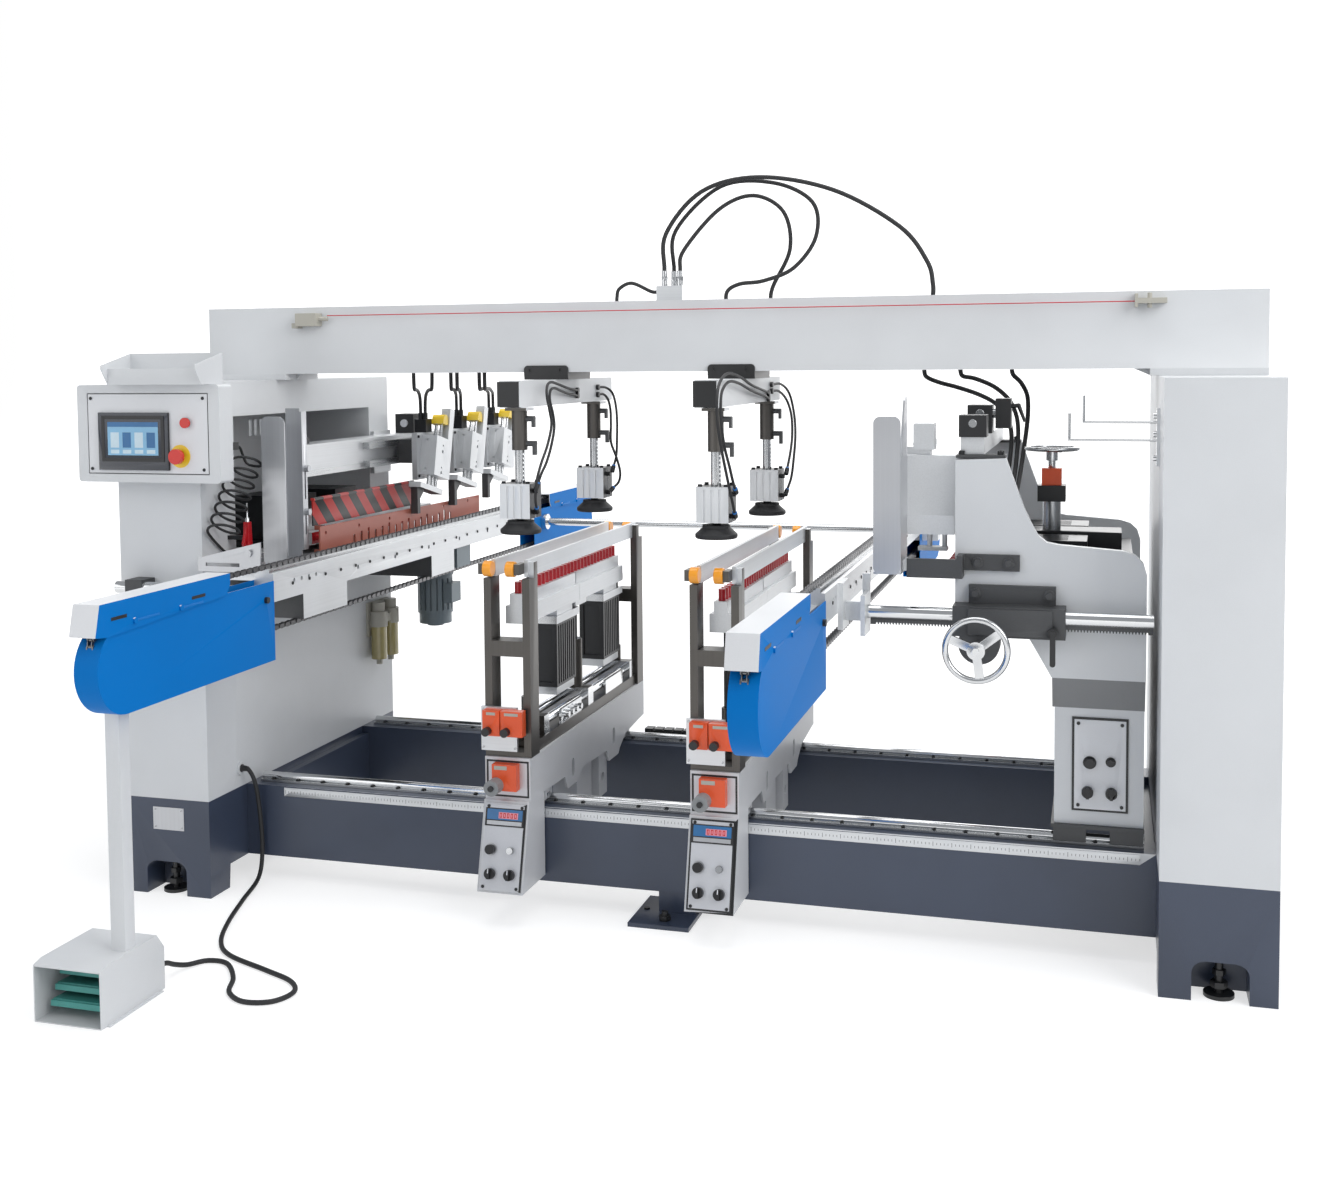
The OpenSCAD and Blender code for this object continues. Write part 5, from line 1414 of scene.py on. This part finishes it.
@dataclass
class Conveyor(Assembly):
    """One of the two chain conveyors, with its covers."""

    side: str = "left"
    start: float = 495.0
    body: str = "frame"
    cover_front: Span = (-871.0, -85.3)
    cover_rear: Span = (1950.3, 2680.0)
    axes: Span = (-759.0, 2568.0)
    axis_level: float = 913.0

    def build(self) -> None:
        """Dresses the conveyor."""
        middle = self.start + 32.5
        end = self.start + 65.0
        table = Zone(GROUND_Y, z=(985.5, 1000.0))
        dark = Zone(DARK_STEEL, x=(270.0, self.start - 2.0), z=(820.0, 926.0))
        plates = Zone(ALLOY_Y, x=(290.0, self.start + 4.0), z=(958.0, 990.0))
        self.dress(f"{self.side}_conveyor", self.body, "sheet_aluminium", ALLOY_Y, (table, dark, plates), bevel=0.8)
        caps = Zone(WHITE, z=(967.0, 1025.0))
        knob = Zone(BLACK, x=(end + 0.2, end + 60.0), z=(890.0, 945.0))
        self.dress(f"{self.side}_covers", self.body, "blue_paint", BLUE, (caps, knob), bevel=1.0, extra=self.cap_details)
        chain = RollerChain()
        chain.place(
            self.shop, f"{self.side}_chain_links", self.body, f"{self.side}_chain", middle, self.axes, self.axis_level, 89.5
        )
        holes = grid((end - 1.4, 20.0, 945.0), (0.0, 96.0, 0.0), 20)
        self.screws.add(self.body, screws_at(holes, RIGHT, 5.0, 2.0))

    def cap_details(self, shape: Shape) -> None:
        """Adds the slots of the caps and the blue strips round the sprockets."""
        end = self.start + 65.0
        for y in (-760.0, -430.0, 2240.0, 2570.0):
            shape.wear(PLASTIC).box((end + 3.2, end + 4.2), (y - 60.0, y), (975.0, 983.0))
        shape.wear(BLUE)
        turns = [math.radians(22.0 + 8.0 * step) for step in range(6)]
        for axis, sign in zip(self.axes, (-1.0, 1.0)):
            outer = [(axis + sign * 112.0 * math.cos(t), 854.0 + 112.0 * math.sin(t)) for t in turns]
            inner = [(axis + sign * 109.5 * math.cos(t), 854.0 + 109.5 * math.sin(t)) for t in reversed(turns)]
            shape.prism("x", (*outer, *inner), (self.start + 2.4, end - 2.4))


@dataclass
class LeftUnit(Assembly):
    """Everything on the left pillar: motor, guards, clamps, drill unit, air filter and gun."""

    clamp_rows: tuple[float, ...] = (1156.0, 1471.0, 1786.0)

    def build(self) -> bpy.types.Object:
        """Dresses the left unit and returns the air gun."""
        self.dress("guide_bars", "frame", "chrome", CHROME, (Zone(DARK_STEEL, x=(59.0, 117.0), y=(-70.0, 0.0)),), bevel=0.8)
        self.dress("left_sprocket", "left_sprocket", "chain_steel", DARK_STEEL, bevel=0.4)
        self.dress("drive_motor", "frame", "motor_paint", MOTOR_GREY, bevel=0.8)
        self.dress("left_fence", "frame", "sheet_aluminium", SHEET, bevel=0.6)
        stripes = Zone(STRIPES, z=(1070.5, 1160.0))
        self.dress("left_guard", "frame", "rust_paint", RUST, (stripes,), bevel=0.4)
        self.clamps()
        red = Zone(RED, x=(411.0, 445.0))
        motors = Zone(BLACK_SATIN, x=(60.0, 303.0))
        self.dress("left_drill", "left_drill", "sheet_aluminium", ALLOY_Y, (motors, red), bevel=0.8)
        bowls = Zone(AMBER, z=(519.0, 641.0), x=(284.0, 345.0))
        self.dress("air_filter", "frame", "warm_grey_plastic", WARM_GREY, (bowls,), bevel=1.2)
        gun = (
            Zone(CHROME, z=(1104.5, 1170.0)),
            Zone(GROUND, x=(300.0, 333.0), z=(985.0, 1010.0)),
            Zone(PLASTIC, x=(277.0, 333.2), y=(133.0, 151.0), z=(1049.0, 1063.0)),
            Zone(PLASTIC, z=(1310.0, 1345.0)),
            Zone(CHROME, y=(117.0, 130.4), z=(1310.0, 1345.0)),
        )
        return self.dress("air_gun", "frame", "red_plastic", RED, gun, bevel=1.5)

    def clamps(self) -> None:
        """Dresses the clamp units and their fingers."""
        units = [
            Zone(GROUND_Y, x=(361.5, 387.0), z=(1210.0, 1310.0)),
            Zone(DARK_STEEL, x=(387.5, 439.9), z=(1210.0, 1310.0)),
            Zone(ALLOY_Z, x=(439.95, 521.0)),
            Zone(BLACK, x=(289.0, 364.0), y=(1244.9, 1331.0), z=(1316.5, 1388.0)),
            Zone(PANEL_GREY, x=(310.0, 345.0), y=(1237.0, 1244.5), z=(1335.0, 1370.0)),
            Zone(DARK_STEEL, x=(299.0, 331.0), y=(469.0, 541.0), z=(1316.5, 1335.0)),
        ]
        fingers = []
        for y in self.clamp_rows:
            units += [
                Zone(CHROME, x=(473.0, 508.0), y=(y + 14, y + 42), z=(1306.0, 1343.0)),
                Zone(YELLOW, x=(463.0, 517.0), y=(y + 14, y + 56), z=(1343.0, 1388.0)),
                Zone(BLACK_SATIN, x=(427.0, 473.0), y=(y - 40, y + 11), z=(1325.1, 1395.0)),
            ]
            fingers += [
                Zone(ALLOY_Z, y=(y - 110, y + 12), z=(1095.0, 1148.0)),
                Zone(ALLOY_Z, y=(y - 184, y - 176.5), z=(1140.0, 1158.0)),
                Zone(CHROME, y=(y - 90, y + 16), z=(1150.0, 1206.0)),
            ]
            plate = [(450.0, y + dy, z) for dy in (-78.0, 58.0) for z in (1172.0, 1312.0)]
            self.screws.add("frame", screws_at([(460.2, p[1], p[2]) for p in plate], RIGHT, 5.0, 4.0))
        self.dress("clamp_rail", "frame", "sheet_aluminium", ALLOY_Y, units, bevel=0.8)
        self.dress("clamp_fingers", "clamp_fingers", "dark_steel", DARK_STEEL, fingers, bevel=0.6)


@dataclass
class Pedals(Assembly):
    """The foot switch with its three pedals."""

    def build(self) -> None:
        """Dresses the foot switch."""
        self.dress("pedal_box", "frame", "light_grey_paint", LIGHT_GREY, bevel=1.0)
        for node in ("pedal_top", "pedal_middle", "pedal_low"):
            self.dress(node, node, "teal_paint", TEAL, bevel=0.8)


@dataclass
class RightHead(Assembly):
    """The head on the right pillar with its drill unit, rack, handwheel and fence."""

    hoses: tuple[tuple[str, tuple[Point, ...]], ...] = (
        (
            "head_hose_long",
            ((2287, 640, 1541), (2294, 642, 1520), (2330, 662, 1503), (2380, 690, 1488), (2442, 716, 1465),
             (2489, 732, 1437), (2520, 738, 1398), (2532, 728, 1352), (2532, 700, 1300), (2528, 640, 1240),
             (2522, 540, 1196), (2512, 400, 1178), (2506, 300, 1176), (2506, 270, 1176)),
        ),
        (
            "head_hose_middle",
            ((2391, 640, 1541), (2398, 644, 1522), (2432, 662, 1514), (2484, 690, 1490), (2525, 712, 1452),
             (2546, 726, 1405), (2552, 722, 1352), (2550, 690, 1290), (2546, 610, 1224), (2538, 480, 1176),
             (2530, 360, 1160), (2526, 300, 1158), (2526, 270, 1158)),
        ),
        (
            "head_hose_short",
            ((2537, 640, 1541), (2542, 642, 1524), (2562, 664, 1502), (2578, 694, 1466), (2580, 718, 1420),
             (2576, 728, 1370), (2570, 712, 1316), (2564, 664, 1256), (2558, 570, 1200), (2552, 440, 1160),
             (2548, 340, 1144), (2546, 300, 1142), (2546, 270, 1142)),
        ),
    )

    def build(self) -> None:
        """Dresses the right head."""
        shelf = Zone(SHELF_GREY, z=(640.0, 742.0), y=(200.0, 1000.0), x=(2600.0, 2910.0))
        rail = Zone(DARK_STEEL, z=(0.0, 350.0))
        self.dress("right_head", "right_head", "light_grey_paint", LIGHT_GREY, (rail, shelf), bevel=2.0)
        self.dress("right_panel", "right_head", "black_plastic", BLACK, (Zone(WHITE, y=(234.0, 236.4)),), bevel=0.6)
        self.dress("rack_clamp", "right_head", "dark_steel", DARK_STEEL, bevel=1.0)
        self.dress("handwheel", "handwheel", "chrome", CAST_CHROME, (Zone(DARK_STEEL, y=(90.0, 180.0)),), bevel=0.6)
        self.dress("clamp_lever", "clamp_lever", "black_plastic", BLACK, bevel=1.0)
        red = Zone(RED, x=(2390.0, 2426.5))
        counter = Zone(VERMILION, x=(2620.0, 2690.0), z=(1236.0, 1266.0))
        collar = Zone(PLASTIC, x=(2610.0, 2700.0), y=(520.0, 600.0), z=(1171.5, 1217.0))
        post = Zone(GROUND, x=(2625.0, 2683.0), y=(530.0, 590.0), z=(1090.5, 1171.0))
        motors = Zone(BLACK_SATIN, x=(2492.0, 2760.0), z=(1028.0, 1092.0))
        self.dress("right_drill", "right_drill", "sheet_aluminium", ALLOY_Y, (motors, red, post, collar, counter), bevel=0.8)
        self.dress("feed_wheel", "feed_wheel", "chrome", CAST_CHROME, bevel=0.6)
        frame = Zone(SHEET, x=(2210.0, 2291.0))
        self.dress("right_fence", "right_head", "sheet_aluminium", ALLOY_Y, (frame,), bevel=0.8)
        teeth = Zone(DARK_STEEL, z=(860.0, 888.0))
        self.dress("rack_bar", "right_conveyor", "chrome", CHROME, (teeth,), bevel=0.0)
        self.dress("right_sprocket", "right_sprocket", "chain_steel", DARK_STEEL, bevel=0.4)
        self.top_gear()
        for name, points in self.hoses:
            Cord(name, points, 13.0, stiffness="stiff", steps=5, sides=12, body="frame", toward="right_head").build(self.shop)

    def top_gear(self) -> None:
        """Adds the dark plates on the cheeks, the beam with its end blocks and the hoses' terminal box."""
        gear = self.shape("right_head_top_gear").wear(DARK_STEEL)
        gear.box((2420.0, 2548.0), (202.0, 262.0), (1312.2, 1320.0))
        gear.box((2420.0, 2548.0), (954.0, 1014.0), (1312.2, 1320.0))
        gear.wear(ALLOY_Y).box((2430.0, 2492.0), (226.0, 990.0), (1320.0, 1366.0))
        gear.wear(PLASTIC).box((2426.0, 2498.0), (214.0, 282.0), (1366.0, 1424.0))
        gear.box((2430.0, 2497.0), (430.0, 500.0), (1366.0, 1444.0))
        gear.box((2506.0, 2548.0), (430.0, 490.0), (1380.0, 1462.0))
        gear.wear(GROUND).rod("x", (2496.0, 460.0, 1420.0), 12.0, 13.0)
        gear.rod("y", (2462.0, 213.0, 1402.0), 3.0, 11.0).rod("y", (2464.0, 429.0, 1420.0), 3.0, 12.0)
        gear.wear(PLASTIC).rod((0.9, 0.0, 0.1), (2546.0, 452.0, 1440.0), 24.0, 6.0)
        gear.rod((0.35, 0.0, -0.94), (2566.0, 452.0, 1446.0), 52.0, 6.0, 4.0)
        gear.box((2480.0, 2572.0), (226.0, 262.0), (1126.0, 1206.0))
        for name, points in self.hoses:
            end = points[-1]
            gear.rod("y", (end[0], 261.0, end[2]), 22.0, 11.0, 8.6)
        gear.place("right_head", "black_plastic", bevel=1.0)
        bolts = [(x, y, 1320.0) for x in (2434.0, 2534.0) for y in (216.0, 248.0, 968.0, 1000.0)]
        self.screws.add("right_head", screws_at(bolts, UP, 8.0, 10.0))


@dataclass
class DrillingHead(Assembly):
    """One of the two heads between the pillars."""

    letter: str = "a"
    centre: float = 1185.0

    def build(self) -> None:
        """Dresses the head."""
        c = self.centre
        head, drill = f"head_{self.letter}", f"drill_{self.letter}"
        sides = (c - 63.0, c + 63.0)
        front = (
            Zone(PLASTIC, x=sides, y=(-20.0, 48.0), z=(90.0, 335.0)),
            Zone(PLASTIC, x=sides, y=(-20.0, 80.0), z=(250.0, 335.0)),
            Zone(PLASTIC, x=(c - 65.0, c + 65.0), y=(92.5, 93.5), z=(345.0, 452.0)),
            Zone(VERMILION, x=(c - 38.0, c + 37.0), y=(60.0, 90.6), z=(365.0, 450.0)),
            Zone(DIAL_GREY, x=(c - 48.0, c), y=(16.0, 63.9), z=(362.0, 410.0)),
            Zone(PLASTIC, x=(c - 34.0, c - 14.0), y=(17.0, 23.9), z=(376.0, 396.0)),
        )
        # The carriages wear the darker copy of the light grey paint, painted shade on their fronts.
        self.dress(
            f"carriage_{self.letter}", head, "light_grey_paint", SHADED_LIGHT_GREY, front, bevel=1.2, extra=self.panel_details
        )
        bars = Zone(ALLOY_Y, z=(967.0, 1020.0), y=(127.0, 1154.0))
        counters = Zone(VERMILION, y=(59.0, 89.0), z=(520.0, 600.0))
        knobs = Zone(PLASTIC, x=(c - 62.0, c + 30.0), y=(38.0, 59.4), z=(520.0, 560.0))
        shafts = Zone(CHROME, y=(240.0, 1100.0), z=(506.0, 534.0))
        plate = Zone(ALLOY_X, x=(c - 79.0, c + 31.0), y=(89.0, 101.0), z=(476.0, 603.0))
        zones = (shafts, bars, plate, counters, knobs)
        self.dress(f"frame_{self.letter}", head, "dark_steel", BRONZE, zones, bevel=1.0, extra=self.windows)
        red = Zone(RED, z=(912.2, 950.0))
        motors = Zone(BLACK_SATIN, x=(c - 53.0, c + 33.0), z=(590.0, 786.0))
        caps = Zone(GROUND, x=(c - 53.0, c + 33.0), z=(786.0, 810.0))
        self.dress(f"drill_{self.letter}", drill, "sheet_aluminium", ALLOY_Y, (motors, caps, red), bevel=1.0)
        for side in ("front", "rear"):
            rollers = f"{side}_rollers_{self.letter}"
            self.dress(rollers, rollers, "orange_plastic", ORANGE, bevel=2.0)
        self.fasten(head, c)

    def windows(self, shape: Shape) -> None:
        """Adds the pale strip at the top of each counter."""
        c = self.centre
        for left, right in ((c - 62.0, c - 11.0), (c - 8.0, c + 57.0)):
            shape.wear(WARM_GREY).box((left + 12.0, right - 12.0), (59.4, 60.6), (585.0, 593.0))

    def tilted(self, x: float, y: float, z: float) -> Point:
        """Finds a point of the sloping panel, from its own sizes."""
        turn = math.radians(-14.4)
        return (
            self.centre + x,
            18.0 + y * math.cos(turn) - z * math.sin(turn),
            93.0 + y * math.sin(turn) + z * math.cos(turn),
        )

    def panel_box(self, shape: Shape, x: Span, y: Span, z: Span) -> None:
        """Adds a block that lies in line with the sloping panel."""
        middle = self.tilted(sum(x) / 2, sum(y) / 2, sum(z) / 2)
        half = [(span[1] - span[0]) / 2 for span in (x, y, z)]
        spans = [(m - h, m + h) for m, h in zip(middle, half)]
        shape.box(*spans, turn=Matrix.Rotation(math.radians(-14.4), 4, "X"))

    def panel_details(self, shape: Shape) -> None:
        """Adds the bare plates, the display and the bright knob of the panel."""
        c = self.centre
        shape.wear(PANEL_GREY).box((c - 58.0, c + 58.0), (91.4, 93.2), (352.0, 445.0))
        shape.wear(WARM_GREY).box((c - 30.0, c + 8.0), (63.4, 64.4), (430.0, 441.0))
        shape.wear(PANEL_GREY)
        self.panel_box(shape, (-57.0, 57.0), (-5.0, -3.9), (11.0, 241.0))
        shape.wear(PAGE_BAR)
        self.panel_box(shape, (-53.0, 53.0), (-6.6, -5.8), (200.0, 229.0))
        shape.wear(SHEET)
        self.panel_box(shape, (-52.0, 52.0), (-6.8, -5.8), (186.0, 197.0))
        shape.wear(LIT_PINK)
        self.panel_box(shape, (-18.0, 40.0), (-7.0, -6.4), (204.0, 221.0))
        shape.wear(SIGNAL_RED)
        for digit in range(5):
            x = -15.0 + 11.0 * digit
            self.panel_box(shape, (x, x + 7.0), (-7.3, -6.8), (206.0, 208.2))
            self.panel_box(shape, (x, x + 7.0), (-7.3, -6.8), (217.0, 219.2))
            self.panel_box(shape, (x, x + 2.0), (-7.3, -6.8), (206.0, 219.0))
            self.panel_box(shape, (x + 5.0, x + 7.0), (-7.3, -6.8), (206.0, 219.0))
        shape.wear(WHITE)
        for x in (-30.0, 28.0):
            self.panel_box(shape, (x - 1.2, x + 1.2), (-28.4, -27.0), (54.0, 66.0))
        facing = (0.0, -math.cos(math.radians(14.4)), math.sin(math.radians(14.4)))
        shape.wear(CHROME).rod(facing, self.tilted(26.0, -4.0, 118.0), 15.0, 10.8, 9.6, 24)
        shape.wear(SHEET).rod(facing, self.tilted(-34.0, -4.6, 118.0), 1.6, 17.5, sides=24)

    def fasten(self, head: str, c: float) -> None:
        """Puts the screws of the head in."""
        plate = [(x, 89.8, z) for x in (c - 72.0, c + 24.0) for z in (486.0, 594.0)]
        self.screws.add(head, screws_at(plate, FRONT, 3.4, 2.2), Head.PAN, GROUND)


@dataclass
class PressArm(Assembly):
    """One of the two press arms under the gantry."""

    letter: str = "a"
    centre: float = 1187.0
    hoses: tuple[tuple[Point, ...], ...] = ()

    def build(self) -> None:
        """Dresses the arm, its press feet and its air hoses."""
        arm, feet = f"arm_{self.letter}", f"feet_{self.letter}"
        c = self.centre
        zones = (
            Zone(BRONZE, x=(c - 1.0, c + 51.0), z=(1324.0, 1444.9)),
            Zone(CHROME, z=(1234.0, 1325.0)),
            Zone(BLACK_SATIN, z=(1225.9, 1240.0)),
            Zone(ALLOY_Z, z=(1134.0, 1225.8)),
            Zone(PLASTIC, x=(c + 69.0, c + 84.0), z=(1140.0, 1225.0)),
            Zone(DARK_STEEL, x=(c + 49.0, c + 78.0), z=(1305.0, 1425.0)),
            Zone(BLACK, z=(1520.5, 1565.0)),
            Zone(BLACK, y=(127.0, 143.8), z=(1440.0, 1521.0)),
        )
        self.dress(arm, arm, "light_grey_paint", LIGHT_GREY, zones, bevel=1.0)
        plunger = Zone(CHROME, z=(1127.5, 1140.0))
        self.dress(feet, feet, "black_rubber", RUBBER, (plunger,), bevel=2.0)
        bolts = []
        for y in (150.0, 800.0):
            bolts += [(c + 25.0 + dx, y + dy, 1233.0) for dx in (-36.0, 36.0) for dy in (-36.0, 36.0)]
        self.screws.add(arm, screws_at(bolts, UP, 6.2, 6.4))
        for index, points in enumerate(self.hoses):
            self.hose(arm, index, points)

    def hose(self, arm: str, index: int, points: tuple[Point, ...]) -> None:
        """Lays one air hose from the arm to a cylinder's elbow fitting."""
        first, last = Vector(points[0]), Vector(points[-1])
        toward = (Vector(points[-2]) - last).normalized()
        elbow = self.shape(f"{arm}_elbow_{index + 1}").wear(PLASTIC)
        elbow.rod(tuple(toward), tuple(last - toward * 22.0), 20.0, 7.2, sides=16)
        elbow.wear(RING_BLUE).rod(tuple(toward), tuple(last - toward * 2.5), 5.0, 6.4, sides=16)
        elbow.wear(PLASTIC).rod("x", (first.x - 4.0, first.y + 6.0, first.z), 9.0, 9.0, sides=16)
        elbow.place(arm, "black_plastic", bevel=0.5)
        Cord(f"{arm}_hose_{index + 1}", points, 8.0, stiffness="stiff", steps=5, sides=10, body=arm).build(self.shop)


ARM_A_HOSES: tuple[tuple[Point, ...], ...] = (
    ((1225, 600, 1484), (1234, 560, 1486), (1239, 475, 1494), (1244, 380, 1507), (1252, 300, 1514), (1262, 242, 1504),
     (1271, 215, 1474), (1276, 222, 1433), (1281, 222, 1393), (1284, 180, 1339), (1286, 122, 1290), (1286, 88, 1248),
     (1283, 84, 1212), (1277, 98, 1186), (1271, 122, 1166)),
    ((1225, 600, 1468), (1232, 560, 1470), (1237, 475, 1478), (1243, 400, 1488), (1251, 330, 1496), (1261, 270, 1490),
     (1268, 246, 1462), (1273, 256, 1426), (1279, 250, 1385), (1282, 216, 1335), (1284, 170, 1290), (1280, 141, 1262),
     (1273, 130, 1234)),
    ((1225, 800, 1490), (1234, 856, 1488), (1248, 884, 1470), (1262, 876, 1431), (1272, 858, 1382), (1277, 840, 1322),
     (1277, 832, 1270), (1274, 812, 1236)),
    ((1225, 800, 1466), (1230, 846, 1466), (1236, 876, 1448), (1244, 876, 1412), (1254, 848, 1365), (1264, 817, 1312),
     (1282, 818, 1262), (1291, 826, 1216), (1287, 824, 1184), (1274, 808, 1166)),
)
ARM_B_HOSES: tuple[tuple[Point, ...], ...] = (
    ((1795, 760, 1470), (1804, 685, 1478), (1810, 471, 1500), (1816, 300, 1526), (1826, 110, 1538), (1837, -24, 1515),
     (1845, -84, 1471), (1850, -98, 1410), (1852, -62, 1337), (1850, 4, 1261), (1846, 66, 1204), (1841, 118, 1164)),
    ((1795, 760, 1454), (1804, 684, 1462), (1810, 471, 1484), (1816, 290, 1508), (1826, 128, 1516), (1837, 6, 1496),
     (1845, -46, 1460), (1849, -54, 1408), (1849, -26, 1352), (1846, 42, 1293), (1843, 88, 1254), (1841, 124, 1228)),
    ((1795, 808, 1476), (1803, 884, 1474), (1815, 944, 1446), (1832, 938, 1397), (1842, 902, 1335), (1846, 852, 1283),
     (1844, 812, 1234)),
    ((1795, 808, 1496), (1803, 915, 1496), (1817, 982, 1464), (1834, 976, 1396), (1847, 928, 1328), (1852, 872, 1256),
     (1851, 840, 1204), (1844, 810, 1168)),
)


def build_machine() -> None:
    """Builds the whole scene."""
    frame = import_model()
    Studio().build()
    shop = Paintshop()
    screws = ScrewBox(shop)
    kit = (frame, shop, screws)
    left = LeftUnit(*kit)
    gun = left.build()
    Hoses().build(shop, gun)
    Portal(*kit).build()
    GantryFittings(*kit).build()
    ControlStation(*kit).build()
    Conveyor(*kit).build()
    Conveyor(*kit, side="right", start=2060.0, body="right_conveyor").build()
    Pedals(*kit).build()
    RightHead(*kit).build()
    for letter, centre in (("a", 1185.0), ("b", 1787.0)):
        DrillingHead(*kit, letter=letter, centre=centre).build()
    for letter, centre, hoses in (("a", 1187.0, ARM_A_HOSES), ("b", 1757.0, ARM_B_HOSES)):
        PressArm(*kit, letter=letter, centre=centre, hoses=hoses).build()
    screws.place()
    bpy.context.scene.view_settings.view_transform = "Standard"


def main() -> None:
    """Sets up the log and builds the machine."""
    logging.basicConfig(level=logging.INFO, format="%(name)s: %(message)s")
    build_machine()


if __name__ == "__main__":
    main()
